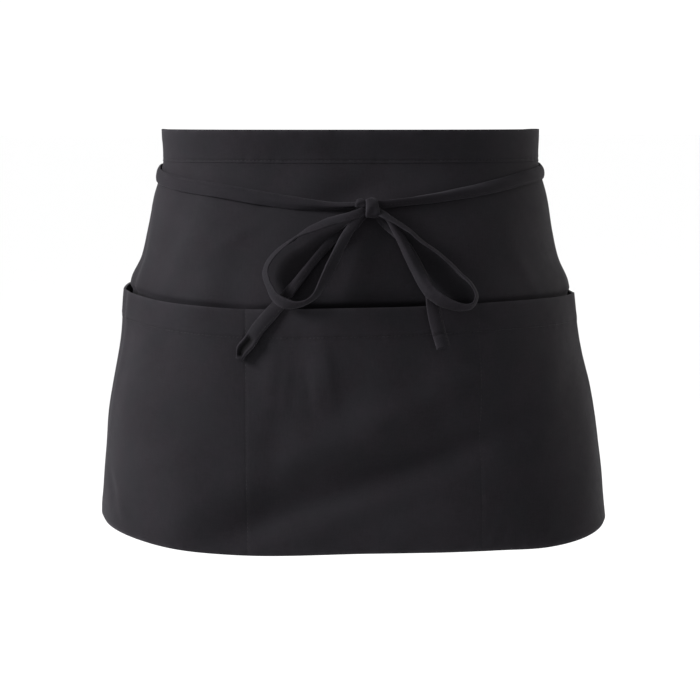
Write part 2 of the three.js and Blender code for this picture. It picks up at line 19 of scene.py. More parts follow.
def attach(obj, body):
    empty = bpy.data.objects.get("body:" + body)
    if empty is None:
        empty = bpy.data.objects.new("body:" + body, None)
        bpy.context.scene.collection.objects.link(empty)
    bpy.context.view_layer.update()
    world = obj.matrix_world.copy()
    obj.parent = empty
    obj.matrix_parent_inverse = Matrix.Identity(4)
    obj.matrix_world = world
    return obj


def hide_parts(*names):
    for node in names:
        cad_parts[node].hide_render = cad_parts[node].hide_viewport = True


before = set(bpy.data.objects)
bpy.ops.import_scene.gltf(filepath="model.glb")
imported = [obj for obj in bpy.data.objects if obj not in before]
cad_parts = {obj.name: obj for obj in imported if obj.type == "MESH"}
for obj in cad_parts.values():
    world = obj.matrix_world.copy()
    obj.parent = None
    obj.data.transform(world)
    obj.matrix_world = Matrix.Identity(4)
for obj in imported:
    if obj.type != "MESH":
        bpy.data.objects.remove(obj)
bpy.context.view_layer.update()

LOG = logging.getLogger("apron")
BODY = "root"
BEVEL_SEGMENTS = 2
BEVEL_ANGLE = math.radians(55)
STITCH_PROUD = 0.00012
STITCH_SUNK = -0.00006


class Slot(str, Enum):
    """The record's material slots."""

    PANEL = "panel_cloth"
    STRAP = "strap_cloth"


class Side(Enum):
    """The viewer's left or right."""

    LEFT = -1
    RIGHT = 1


@dataclass(frozen=True)
class Cut:
    """Sizes of the flat cut and of its layers, and where its lines of stitches run."""

    width: float = 0.610
    length: float = 0.305
    corner: float = 0.060
    band: float = 0.024
    pocket: float = 0.175
    pocket_hem: float = 0.021
    centre_pocket: float = 0.167
    side_hem: float = 0.009
    skirt_tuck: float = 0.0012
    skirt_cloth: float = 0.0012
    side_hem_cloth: float = 0.0006
    band_cloth: float = 0.0024
    band_thinning: float = 0.0007
    pocket_cloth: float = 0.0012
    hem_cloth: float = 0.0017
    gap: float = 0.0003
    band_inset: float = 0.0016
    hem_inset: float = 0.001
    side_inset: float = 0.004
    run_inset: float = 0.003

    @property
    def half(self) -> float:
        """Half the width of the cut."""
        return self.width / 2

    @property
    def seam(self) -> float:
        """How far from front centre the lines between the pockets run."""
        return self.centre_pocket / 2

    @property
    def band_line(self) -> float:
        """How far below the top edge the stitches along the band run."""
        return self.band - self.band_inset

    @property
    def hem_line(self) -> float:
        """How far below the top edge the stitches of the pocket's hem run."""
        return self.mouth + self.pocket_hem - self.hem_inset

    @property
    def mouth(self) -> float:
        """How far the pocket mouth lies below the top edge."""
        return self.length - self.pocket

    @property
    def corner_loss(self) -> float:
        """The area that the two rounded corners take off the cut."""
        return 2 * (1 - math.pi / 4) * self.corner**2

    def lowest(self, across: np.ndarray) -> np.ndarray:
        """Gives the lower edge of the cut, which rises round the two bottom corners.

        Args:
            across: Places from front centre.

        Returns:
            How far below the top edge the cut ends at each place.
        """
        into = np.maximum(np.abs(across) - (self.half - self.corner), 0.0)
        arc = np.sqrt(np.maximum(self.corner**2 - into**2, 0.0))
        return self.length - (self.corner - arc)

    def from_edge(self, across: np.ndarray, down: np.ndarray) -> np.ndarray:
        """Gives the distance from the sides, the corners and the lower edge of the cut.

        Args:
            across: Places from front centre.
            down: Places from the top edge.

        Returns:
            How far inside the nearest of these edges each place lies.
        """
        beside = np.abs(across) - (self.half - self.corner)
        below = down - (self.length - self.corner)
        round_corner = self.corner - np.hypot(np.maximum(beside, 0.0), np.maximum(below, 0.0))
        straight = np.minimum(self.half - np.abs(across), self.length - down)
        return np.where((beside > 0) & (below > 0), round_corner, straight)


@dataclass(frozen=True)
class Worn:
    """Sizes of the worn form: its girth, how its pocket mouths stand off, and how it hangs and folds."""

    waist_half_width: float = 0.1405
    waist_front: float = 0.0825
    waist_back: float = 0.087
    hem_half_width: float = 0.188
    hem_front: float = 0.135
    hem_back: float = 0.112
    centre_gape: float = 0.0028
    left_gape: float = 0.0038
    right_gape: float = 0.0015
    centre_sharpness: float = 1.3
    side_sharpness: float = 1.5
    side_skew: float = 0.62
    gape_fade: float = 1.5
    mouth_flare: float = 0.0026
    flare_depth: float = 0.030
    flare_sharpness: float = 1.6
    uneven_hang: float = 0.004
    back_sag: float = 0.0019
    sag_start: float = 0.62
    sag_end: float = 0.85
    fold: float = 0.0052


class Section(NamedTuple):
    """A level by share of the cut's length. The middle columns run from 0 at the waist to 1 at the hem."""

    down: float
    width: float
    front: float
    back: float
    square: float


SECTIONS = (
    Section(0.00, 0.00, 0.00, 0.00, 2.5),
    Section(0.08, 0.01, 0.00, 0.08, 2.5),
    Section(0.17, 0.15, 0.20, 0.17, 2.4),
    Section(0.26, 0.26, 0.40, 0.26, 2.3),
    Section(0.33, 0.36, 0.55, 0.33, 2.2),
    Section(0.40, 0.53, 0.70, 0.40, 2.15),
    Section(0.55, 0.65, 0.80, 0.55, 2.45),
    Section(0.75, 0.86, 0.89, 0.75, 3.0),
    Section(1.00, 1.00, 1.00, 1.00, 3.6),
)


class Hang(NamedTuple):
    """How far the pocket mouth and the hem hang above their even line, in shares of the uneven hang."""

    across: float
    mouth: float
    hem: float


HANG = (
    Hang(-1.0, -0.6, 0.3),
    Hang(-0.75, -0.6, 0.0),
    Hang(-0.6, -0.2, -0.05),
    Hang(-0.3, -0.4, 0.0),
    Hang(0.0, -0.2, 0.6),
    Hang(0.3, 0.4, 0.1),
    Hang(0.45, 0.2, -0.85),
    Hang(0.6, -0.7, -1.3),
    Hang(0.78, -2.0, -1.1),
    Hang(1.0, -1.2, 0.0),
)


class Fold(NamedTuple):
    """A soft fold of the cloth.

    Its middle is in shares of the half width and of the length, its run in degrees up from the
    horizontal, its length and width in shares of the cut's length, and its height in shares of the worn
    form's fold, inwards where negative.
    """

    across: float
    down: float
    run: float
    length: float
    width: float
    height: float


BROAD_FOLDS = (
    Fold(0.02, 0.70, 22, 0.30, 0.050, 0.66),
    Fold(0.04, 0.822, 20, 0.36, 0.048, -1.36),
    Fold(0.16, 0.765, 17, 0.15, 0.036, -0.46),
    Fold(-0.205, 0.72, 82, 0.15, 0.034, -0.30),
    Fold(-0.02, 0.885, 24, 0.16, 0.045, 0.45),
    Fold(0.44, 0.70, 66, 0.16, 0.060, 0.30),
    Fold(-0.24, 0.905, 30, 0.13, 0.050, -0.70),
    Fold(0.12, 0.95, 12, 0.20, 0.060, 0.60),
    Fold(-0.42, 0.88, 80, 0.16, 0.060, 0.50),
    Fold(-0.21, 0.58, 88, 0.10, 0.030, 0.26),
    Fold(-0.10, 0.58, 92, 0.10, 0.030, 0.30),
    Fold(-0.44, 0.31, 55, 0.12, 0.045, 0.45),
    Fold(0.62, 0.80, 70, 0.18, 0.060, 0.08),
    Fold(0.05, 0.60, 75, 0.15, 0.060, 0.35),
    Fold(-0.03, 0.155, 6, 0.075, 0.036, -0.80),
    Fold(0.11, 0.41, 84, 0.12, 0.100, -1.25),
    Fold(-0.37, 0.32, 82, 0.17, 0.066, 0.78),
    Fold(-0.645, 0.50, 77, 0.32, 0.026, 0.22),
    Fold(-0.690, 0.50, 77, 0.32, 0.024, -0.30),
    Fold(0.66, 0.60, 103, 0.32, 0.024, 0.18),
    Fold(0.70, 0.60, 103, 0.32, 0.022, -0.24),
)
FINE_FOLDS = (
    Fold(-0.18, 0.60, 84, 0.07, 0.011, 0.14),
    Fold(-0.13, 0.61, 95, 0.06, 0.010, -0.12),
    Fold(-0.08, 0.59, 98, 0.08, 0.012, 0.12),
    Fold(0.30, 0.97, 58, 0.020, 0.008, 0.12),
    Fold(0.34, 0.97, 62, 0.022, 0.008, 0.14),
    Fold(0.38, 0.975, 60, 0.018, 0.007, 0.12),
    Fold(0.43, 0.97, 55, 0.024, 0.009, 0.12),
    Fold(-0.05, 0.30, 20, 0.06, 0.014, 0.10),
    Fold(0.16, 0.27, -24, 0.08, 0.016, 0.12),
    Fold(-0.30, 0.26, 35, 0.08, 0.018, 0.12),
    Fold(0.42, 0.36, -60, 0.09, 0.020, 0.12),
    Fold(-0.62, 0.20, 74, 0.07, 0.014, 0.16),
    Fold(0.66, 0.20, -74, 0.07, 0.014, 0.16),
    Fold(-0.65, 0.91, -48, 0.045, 0.020, -0.28),
    Fold(-0.60, 0.945, -40, 0.030, 0.016, 0.14),
)


def read_column(rows: Sequence[NamedTuple], key: str, name: str, places: np.ndarray) -> np.ndarray:
    """Reads one column of a table as a smooth curve through its rows.

    Args:
        rows: The table.
        key: The column that the places lie along.
        name: The column to read.
        places: Places on the key column.

    Returns:
        The value at each place.
    """
    keys = np.array([getattr(row, key) for row in rows])
    values = np.array([getattr(row, name) for row in rows])
    before = np.maximum(np.arange(len(keys)) - 1, 0)
    after = np.minimum(np.arange(len(keys)) + 1, len(keys) - 1)
    slopes = (values[after] - values[before]) / (keys[after] - keys[before])
    index = np.clip(np.searchsorted(keys, places, side="left") - 1, 0, len(keys) - 2)
    step = keys[index + 1] - keys[index]
    t = np.clip((places - keys[index]) / step, 0.0, 1.0)
    rise = t * t * (3 - 2 * t)
    pulls = t * (1 - t) ** 2 * slopes[index] - t**2 * (1 - t) * slopes[index + 1]
    return values[index] + (values[index + 1] - values[index]) * rise + step * pulls


def ease(start: float, end: float, places: np.ndarray) -> np.ndarray:
    """Rises smoothly from 0 at the start to 1 at the end.

    Args:
        start: Where the rise starts.
        end: Where the rise ends.
        places: Where to read it.

    Returns:
        The height at each place.
    """
    t = np.clip((places - start) / (end - start), 0.0, 1.0)
    return t * t * (3 - 2 * t)


def bump(off: np.ndarray, width: float) -> np.ndarray:
    """Gives a smooth bump, 1 high, by the distance off its middle."""
    return np.exp(-((off / width) ** 2))


def wave(run: np.ndarray, length: float, phase: float | np.ndarray = 0.0) -> np.ndarray:
    """Gives a sine wave of a length along a run."""
    return np.sin(run * 2 * math.pi / length + phase)


def crowded(start: float, end: float, count: int, seams: Sequence[float]) -> np.ndarray:
    """Spreads places over a span so that they crowd together near the seams.

    Args:
        start: The first place.
        end: The last place.
        count: The number of steps between them.
        seams: The places round which the steps are short.

    Returns:
        The places, one more than the steps.
    """
    crowding, reach, samples = 2.6, 0.0035, 4001
    fine = np.linspace(start, end, samples)
    density = np.ones_like(fine)
    for seam in seams:
        density += crowding * bump(fine - seam, reach)
    total = np.concatenate([[0.0], np.cumsum((density[1:] + density[:-1]) / 2)])
    return np.interp(np.linspace(0.0, total[-1], count + 1), total, fine)


def unit(vectors: np.ndarray) -> np.ndarray:
    """Scales each vector to length one."""
    return vectors / np.linalg.norm(vectors, axis=-1, keepdims=True)


class EdgeWear(NamedTuple):
    """How pale an edge is worn, and how far in from the edge the paleness fades."""

    amount: float
    reach: float

    def at(self, off: np.ndarray) -> np.ndarray:
        """Gives the wear at distances from the edge."""
        return self.amount * np.exp(-off / self.reach)


class WornForm:
    """The form that the cloth takes round the waist, as a map from the flat cut to its worn place."""

    level_step = 0.001
    spare_levels = 12
    angles = 361
    samples = 721
    probe = 0.0015
    ripple_seed = 11
    ripple_count = 14
    ripple_lengths = (0.028, 0.085)
    ripple_height = 0.0011

    def __init__(self, cut: Cut, worn: Worn) -> None:
        """Works out the sections of the form.

        Args:
            cut: The flat cut.
            worn: The sizes of the worn form.
        """
        self.cut = cut
        self.worn = worn
        count = int(cut.length / self.level_step) + self.spare_levels
        shares = np.arange(count) * self.level_step / cut.length
        shape = {name: read_column(SECTIONS, "down", name, shares)[:, None] for name in Section._fields[1:]}
        wide = worn.waist_half_width + (worn.hem_half_width - worn.waist_half_width) * shape["width"]
        front = worn.waist_front + (worn.hem_front - worn.waist_front) * shape["front"]
        back = worn.waist_back + (worn.hem_back - worn.waist_back) * shape["back"]
        angle = np.linspace(0.0, math.pi, self.angles)[None, :]
        depth = np.where(angle < math.pi / 2, front, back)
        power = shape["square"]
        sideways = (np.sin(angle) / wide) ** power
        reach = (sideways + (np.abs(np.cos(angle)) / depth) ** power) ** (-1 / power)
        x = reach * np.sin(angle)
        y = -reach * np.cos(angle)
        run = np.hypot(np.diff(x, axis=1), np.diff(y, axis=1))
        length = np.concatenate([np.zeros((count, 1)), np.cumsum(run, axis=1)], axis=1)
        self.half_girth = length[:, -1]
        even = np.linspace(0.0, 1.0, self.samples)
        self.plan_x, self.plan_y = (
            np.array([np.interp(even * far[-1], far, places) for far, places in zip(length, table)])
            for table in (x, y)
        )
        rng = np.random.default_rng(self.ripple_seed)
        self.ripples = [
            (rng.uniform(*self.ripple_lengths), rng.uniform(0, math.pi), rng.uniform(0, 2 * math.pi))
            for _ in range(self.ripple_count)
        ]

    def girth(self, down: float | np.ndarray) -> float | np.ndarray:
        """Gives half the girth of the form at a level or at each of many."""
        return np.interp(down, np.arange(len(self.half_girth)) * self.level_step, self.half_girth)

    def plan(self, across: np.ndarray, down: np.ndarray) -> np.ndarray:
        """Gives the place in plan, carried on past back centre to the other side.

        Args:
            across: Lengths of cloth from front centre.
            down: Levels below the top edge.

        Returns:
            The x and y of each place.
        """
        level = np.clip(down / self.level_step, 0, len(self.half_girth) - 1.001)
        low = level.astype(int)
        rise = level - low
        half = self.girth(np.maximum(down, 0.0))
        past = np.abs(across) > half
        share = np.where(past, 2 * half - np.abs(across), np.abs(across)) / half
        side = np.sign(across) * np.where(past, -1.0, 1.0)
        spot = np.clip(share * (self.samples - 1), 0, self.samples - 1.001)
        left = spot.astype(int)
        part = spot - left

        def read(table: np.ndarray) -> np.ndarray:
            """Reads a table between its four nearest values."""
            upper = table[low, left] * (1 - part) + table[low, left + 1] * part
            lower = table[low + 1, left] * (1 - part) + table[low + 1, left + 1] * part
            return upper * (1 - rise) + lower * rise

        return np.stack([side * read(self.plan_x), read(self.plan_y)], axis=-1)

    def lift(self, across: np.ndarray, down: np.ndarray) -> np.ndarray:
        """Gives how far the cloth hangs above its even line.

        Args:
            across: Lengths of cloth from front centre.
            down: Lengths of cloth from the top edge.

        Returns:
            The lift at each place.
        """
        share = np.clip(across / self.cut.half, -1.0, 1.0)
        below = ease(self.cut.mouth, self.cut.length, down)
        above = ease(self.cut.band, self.cut.mouth, down)
        mouth = read_column(HANG, "across", "mouth", share) * above * (1 - below)
        hem = read_column(HANG, "across", "hem", share) * below
        sag = self.worn.back_sag * ease(self.worn.sag_start, self.worn.sag_end, np.abs(share))
        return self.worn.uneven_hang * (mouth + hem) - sag

    def even(self, across: np.ndarray, down: np.ndarray) -> np.ndarray:
        """Gives the inner face of the skirt before its folds.

        Args:
            across: Lengths of cloth from front centre.
            down: Lengths of cloth from the top edge.

        Returns:
            The point at each place.
        """
        plan = self.plan(across, down)
        top = self.plan(across, np.zeros_like(down))
        outwards = ((plan - top) ** 2).sum(axis=-1)
        drop = np.sign(down) * np.sqrt(np.maximum(down**2 - outwards, 0.0))
        height = self.cut.band / 2 - drop + self.lift(across, down)
        return np.concatenate([plan, height[..., None]], axis=-1)

    def folds(self, across: np.ndarray, down: np.ndarray, table: Sequence[Fold]) -> np.ndarray:
        """Gives the height of a table's folds.

        Args:
            across: Lengths of cloth from front centre.
            down: Lengths of cloth from the top edge.
            table: The folds.

        Returns:
            The height at each place.
        """
        height = np.zeros_like(across)
        for fold in table:
            angle = math.radians(fold.run)
            right = across - fold.across * self.cut.half
            up = fold.down * self.cut.length - down
            along = (right * math.cos(angle) + up * math.sin(angle)) / (fold.length * self.cut.length)
            off = (up * math.cos(angle) - right * math.sin(angle)) / (fold.width * self.cut.length)
            height += self.worn.fold * fold.height * np.exp(-(along**2) - off**2)
        return height

    def ripple(self, across: np.ndarray, down: np.ndarray) -> np.ndarray:
        """Gives the slight unevenness of pressed cloth that has been worn.

        Args:
            across: Lengths of cloth from front centre.
            down: Lengths of cloth from the top edge.

        Returns:
            The height at each place.
        """
        height = np.zeros_like(across)
        for length, angle, phase in self.ripples:
            run = across * math.cos(angle) + down * math.sin(angle)
            height += length * wave(run, length, phase)
        return self.ripple_height * height

    def frame_at(self, across: np.ndarray, down: np.ndarray) -> tuple[np.ndarray, np.ndarray, np.ndarray]:
        """Gives the sideways, upward and outward directions of the cloth.

        Args:
            across: Lengths of cloth from front centre.
            down: Lengths of cloth from the top edge.

        Returns:
            The three directions at each place.
        """
        step = self.probe
        sideways = unit(self.even(across + step, down) - self.even(across - step, down))
        upward = self.even(across, down - step) - self.even(across, down + step)
        outward = unit(np.cross(sideways, upward))
        return sideways, np.cross(outward, sideways), outward

    def place(self, across: np.ndarray, down: np.ndarray, out: np.ndarray, fine: bool = True) -> np.ndarray:
        """Lays points of the flat cut on the worn form.

        Args:
            across: Lengths of cloth from front centre.
            down: Lengths of cloth from the top edge.
            out: Distances from the inner face of the skirt.
            fine: Whether the fine folds and the ripple count.

        Returns:
            The worn place of each point.
        """
        height = self.folds(across, down, BROAD_FOLDS)
        if fine:
            height = height + self.folds(across, down, FINE_FOLDS) + self.ripple(across, down)
        _, _, outward = self.frame_at(across, down)
        return self.even(across, down) + outward * (out + height)[..., None]

    def gape(self, across: np.ndarray, down: np.ndarray) -> np.ndarray:
        """Gives how far the pocket panel stands off: most at the mouths, nothing at the seams.

        Args:
            across: Lengths of cloth from front centre.
            down: Lengths of cloth from the top edge.

        Returns:
            The distance at each place.
        """
        seam = self.cut.seam
        centre = np.abs(across) <= seam
        inner = np.clip((across + seam) / self.cut.centre_pocket, 0.0, 1.0)
        outer = np.clip((np.abs(across) - seam) / (self.cut.half - seam), 0.0, 1.0)
        share = np.where(centre, inner, outer ** self.worn.side_skew)
        side = np.where(across < 0, self.worn.left_gape, self.worn.right_gape)
        reach = np.where(centre, self.worn.centre_gape, side)
        power = np.where(centre, self.worn.centre_sharpness, self.worn.side_sharpness)
        between = np.maximum(np.sin(math.pi * share), 0.0) ** power
        above = np.clip((self.cut.length - down) / self.cut.pocket, 0.0, 1.0)
        near = np.clip((self.cut.mouth + self.worn.flare_depth - down) / self.worn.flare_depth, 0.0, 1.0)
        flare = np.where(centre, self.worn.mouth_flare * near**self.worn.flare_sharpness, 0.0)
        return between * (reach * above**self.worn.gape_fade + flare)


class Laid(NamedTuple):
    """Vertices of a cloth piece in place, with what their finish reads."""

    place: np.ndarray
    flat: np.ndarray
    # Pale wear where positive, painted shade where negative.
    wear_and_shade: np.ndarray


@dataclass
class ClothShell:
    """A closed piece of cloth: a flat grid laid on the outer face, and its copy on the inner face."""

    name: str
    columns: int
    rows: int
    slot: Slot
    node: str
    edge_round: float = 0.0004
    closed: bool = False

    def lay(self, column: np.ndarray, row: np.ndarray, outer: bool) -> Laid:
        """Lays the grid's vertices.

        Args:
            column: The column of each vertex, from the viewer's left or the strap's start.
            row: The row of each vertex, from the bottom.
            outer: Whether the outer face is laid, or else the inner one.

        Returns:
            The laid vertices.
        """
        raise NotImplementedError

    def build(self) -> bpy.types.Object:
        """Builds the piece.

        Returns:
            The finished object, which rides on the body and replaces its CAD node.
        """
        form = bmesh.new()
        spot = form.verts.layers.float_vector.new("spot")
        cloth = form.verts.layers.float_vector.new("cloth")
        # This layer holds pale wear where positive and painted shade where negative.
        wear_and_shade = form.verts.layers.float.new("wear_and_shade")
        bmesh.ops.create_grid(form, x_segments=self.columns, y_segments=self.rows, size=0.5)
        for vert in form.verts:
            vert[spot] = (
                round((vert.co.x + 0.5) * self.columns), round((vert.co.y + 0.5) * self.rows), 0)

        def set_places(verts: Sequence[bmesh.types.BMVert], outer: bool) -> None:
            """Moves the vertices to their worn places and notes what the finish reads."""
            grid = np.array([vert[spot][:2] for vert in verts])
            laid = self.lay(grid[:, 0], grid[:, 1], outer)
            for vert, place, flat, worn in zip(verts, laid.place, laid.flat, laid.wear_and_shade):
                vert.co = place
                vert[cloth] = (flat[0], flat[1], 0.0 if outer else 1.0)
                vert[wear_and_shade] = worn

        set_places(form.verts[:], True)
        if self.closed:
            bmesh.ops.remove_doubles(form, verts=form.verts[:], dist=1e-6)
        shell = bmesh.ops.extrude_face_region(form, geom=form.faces[:], use_keep_orig=True)
        set_places([item for item in shell["geom"] if isinstance(item, bmesh.types.BMVert)], False)
        form.verts.layers.float_vector.remove(spot)
        bmesh.ops.recalc_face_normals(form, faces=form.faces[:])
        piece = to_object(self.name, form)
        if self.edge_round > 0:
            bevel = piece.modifiers.new("rounded_edges", "BEVEL")
            bevel.width = self.edge_round
            bevel.segments = BEVEL_SEGMENTS
            bevel.limit_method = "ANGLE"
            bevel.angle_limit = BEVEL_ANGLE
        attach(piece, BODY)
        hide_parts(self.node)
        return piece


def to_object(name: str, form: bmesh.types.BMesh) -> bpy.types.Object:
    """Turns a finished form into a smooth object.

    Args:
        name: The piece's name.
        form: The form, which is freed.

    Returns:
        The object, linked to the scene.
    """
    for face in form.faces:
        face.smooth = True
    mesh = bpy.data.meshes.new(name)
    form.to_mesh(mesh)
    form.free()
    piece = bpy.data.objects.new(name, mesh)
    bpy.context.scene.collection.objects.link(piece)
    return piece


@dataclass
class Seams:
    """The grooves and puckers that lines of stitches leave in the cloth."""

    cut: Cut
    groove: float = 0.00042
    groove_width: float = 0.0010
    pucker: float = 0.00022
    pucker_width: float = 0.0045
    pucker_length: float = 0.0085
    pucker_wander: float = 3.0
    wander_waves: tuple = ((0.35, 0.047), (0.5, 0.113))
    swell: float = 0.45
    swell_length: float = 0.071
    pocket_share: float = 0.38
    pocket_shift: float = 0.02

    def along(self, off: np.ndarray, run: np.ndarray) -> np.ndarray:
        """Gives the height of the cloth beside a line of stitches.

        Args:
            off: Distances from the line.
            run: Distances along the line.

        Returns:
            The height at each place, inwards where negative.
        """
        wander = sum(share * wave(run, length) for share, length in self.wander_waves)
        swell = 1 - self.swell + self.swell * wave(run, self.swell_length, 1.0)
        puckers = self.pucker * wave(run, self.pucker_length, self.pucker_wander * wander) * swell
        return puckers * bump(off, self.pucker_width) - self.groove * bump(off, self.groove_width)

    def in_band(self, across: np.ndarray, down: np.ndarray) -> np.ndarray:
        """Gives the height beside the line along the band's lower edge."""
        return self.along(down - self.cut.band_line, across)

    def in_pocket(self, across: np.ndarray, down: np.ndarray) -> np.ndarray:
        """Gives the height beside the pocket's hem line and the shallower lines between the pockets."""
        hem = self.along(down - self.cut.hem_line, across)
        between = self.along(np.abs(across) - self.cut.seam, down + self.pocket_shift * np.sign(across))
        return hem + self.pocket_share * between


@dataclass(kw_only=True)
class Panel(ClothShell):
    """A cloth panel of the apron, laid on the worn form."""

    form: WornForm
    top: float = 0.0
    corner_columns: int = 26

    def across_places(self) -> np.ndarray:
        """Gives the places of the columns: close at the seams, and even by angle round each corner."""
        cut = self.form.cut
        straight = cut.half - cut.corner
        middle_columns = self.columns - 2 * self.corner_columns
        middle = crowded(-straight, straight, middle_columns, (-cut.seam, cut.seam))
        turn = np.linspace(0.0, math.pi / 2, self.corner_columns, endpoint=False)
        corner = straight + cut.corner * np.cos(turn)
        return np.concatenate([-corner, middle, corner[::-1]])

    def row_shares(self) -> np.ndarray:
        """Gives the places of the rows, as shares of the way from the top to the cut's edge."""
        return np.linspace(0.0, 1.0, self.rows + 1)

    def flat_places(self, column: np.ndarray, row: np.ndarray) -> tuple[np.ndarray, np.ndarray]:
        """Gives the flat place of each vertex.

        Args:
            column: The column of each vertex.
            row: The row of each vertex, from the bottom.

        Returns:
            The places from front centre and from the top edge.
        """
        across = self.across_places()[column.astype(int)]
        share = self.row_shares()[(self.rows - row).astype(int)]
        return across, self.top + (self.form.cut.lowest(across) - self.top) * share

    def laid(self, across: np.ndarray, down: np.ndarray, out: np.ndarray, worn: np.ndarray) -> Laid:
        """Lays flat places on the worn form.

        Args:
            across: Places from front centre.
            down: Places from the top edge.
            out: Distances from the inner face of the skirt.
            worn: How worn each place is where positive, and how much painted shade it has where negative.

        Returns:
            The laid vertices.
        """
        return Laid(self.form.place(across, down, out), np.stack([across, down], axis=-1), worn)


@dataclass(kw_only=True)
class SkirtPanel(Panel):
    """The main panel, from inside the waistband to the hem, with a narrow hem down each side."""

    shown_share: float = 0.68
    shown_below: float = 0.007
    fall: float = 0.0042
    least_fall: float = 0.4
    full_gape: float = 0.004
    fall_sides: tuple[float, float] = (0.003, 0.022)
    outer_fall: tuple[float, float] = (-0.0052, 0.0006)
    inner_fall: tuple[float, float] = (-0.024, 0.0016)
    dent: float = 0.0034
    dent_place: tuple[float, float] = (0.006, 0.003)
    dent_size: tuple[float, float] = (0.055, 0.021)
    hem_groove: float = 0.0003
    hem_groove_width: float = 0.001
    hem_step: float = 0.0005
    close_below: float = 0.001
    edge_wear: EdgeWear = EdgeWear(0.8, 0.002)
    # Painted shade: how strongly the outer face is darkened just above and behind the pocket mouths.
    painted_shade: float = 0.85
    painted_shade_levels: tuple[float, float] = (-0.0014, 0.0004)
    painted_shade_sides: tuple[float, float] = (0.003, 0.012)

    def row_shares(self) -> np.ndarray:
        """Gives close rows above the pocket mouth, where the skirt shows, and wider ones below it."""
        cut = self.form.cut
        shown = round(self.shown_share * self.rows)
        end = cut.mouth + self.shown_below
        upper = crowded(self.top, end, shown, (cut.mouth + self.close_below,))
        lower = np.linspace(end, cut.length, self.rows - shown + 1)[1:]
        return (np.concatenate([upper, lower]) - self.top) / (cut.length - self.top)

    def recess(self, across: np.ndarray, down: np.ndarray, outer: bool) -> np.ndarray:
        """Gives how far the skirt falls back behind the pocket mouths, most of all below the bow.

        Args:
            across: Places from front centre.
            down: Places from the top edge.
            outer: Whether the outer face is meant, which falls back in a shorter step.

        Returns:
            The distance inwards at each place.
        """
        mouth = self.form.cut.mouth
        gaping = np.minimum(self.form.gape(across, down) / self.full_gape, 1.0)
        behind = self.least_fall + (1 - self.least_fall) * gaping
        fade = ease(*self.fall_sides, self.form.cut.from_edge(across, down))
        start, end = self.outer_fall if outer else self.inner_fall
        step = self.fall * behind * fade * ease(mouth + start, mouth + end, down)
        right, below = self.dent_place
        wide, high = self.dent_size
        off = ((across - right) / wide) ** 2 + ((down - mouth - below) / high) ** 2
        return step + self.dent * np.exp(-off)

    def lay(self, column: np.ndarray, row: np.ndarray, outer: bool) -> Laid:
        """Lays the skirt, with painted shade darkening its outer face from just above the pocket mouths down
        behind the pockets: see ClothShell.lay.
        """
        cut = self.form.cut
        across, down = self.flat_places(column, row)
        edge = cut.from_edge(across, down)
        worn = self.edge_wear.at(edge)
        if outer:
            # Painted shade on the outer face, from just above the mouth down behind the pocket, for the dark
            # line of the gap at the pocket mouths.
            start, end = self.painted_shade_levels
            behind = ease(cut.mouth + start, cut.mouth + end, down) * ease(*self.painted_shade_sides, edge)
            worn = worn - self.painted_shade * behind
            from_line = edge - cut.side_hem + cut.hem_inset
            out = cut.skirt_cloth - self.hem_groove * bump(from_line, self.hem_groove_width)
        else:
            in_hem = 1 - ease(cut.side_hem - self.hem_step, cut.side_hem + self.hem_step, edge)
            out = -cut.side_hem_cloth * in_hem
        return self.laid(across, down, out - self.recess(across, down, outer), worn)


@dataclass(kw_only=True)
class Waistband(Panel):
    """The folded band along the top edge, stitched down near its lower edge."""

    seams: Seams
    thinning_start: float = 0.004
    top_wear: EdgeWear = EdgeWear(0.7, 0.0018)
    low_wear: EdgeWear = EdgeWear(0.2, 0.001)

    def flat_places(self, column: np.ndarray, row: np.ndarray) -> tuple[np.ndarray, np.ndarray]:
        """Gives the flat place of each vertex: see Panel.flat_places."""
        cut = self.form.cut
        places = crowded(0.0, cut.band, self.rows, (cut.band_line,))
        return self.across_places()[column.astype(int)], places[(self.rows - row).astype(int)]

    def face(self, down: np.ndarray) -> np.ndarray:
        """Gives the distance of the outer face without its seams, which thins towards the lower edge."""
        cut = self.form.cut
        return cut.band_cloth - cut.band_thinning * ease(self.thinning_start, cut.band, down)

    def lay(self, column: np.ndarray, row: np.ndarray, outer: bool) -> Laid:
        """Lays the band: see ClothShell.lay."""
        across, down = self.flat_places(column, row)
        out = self.face(down) + self.seams.in_band(across, down) if outer else np.zeros_like(down)
        worn = self.top_wear.at(down) + self.low_wear.at(self.form.cut.band - down)
        return self.laid(across, down, out, worn)


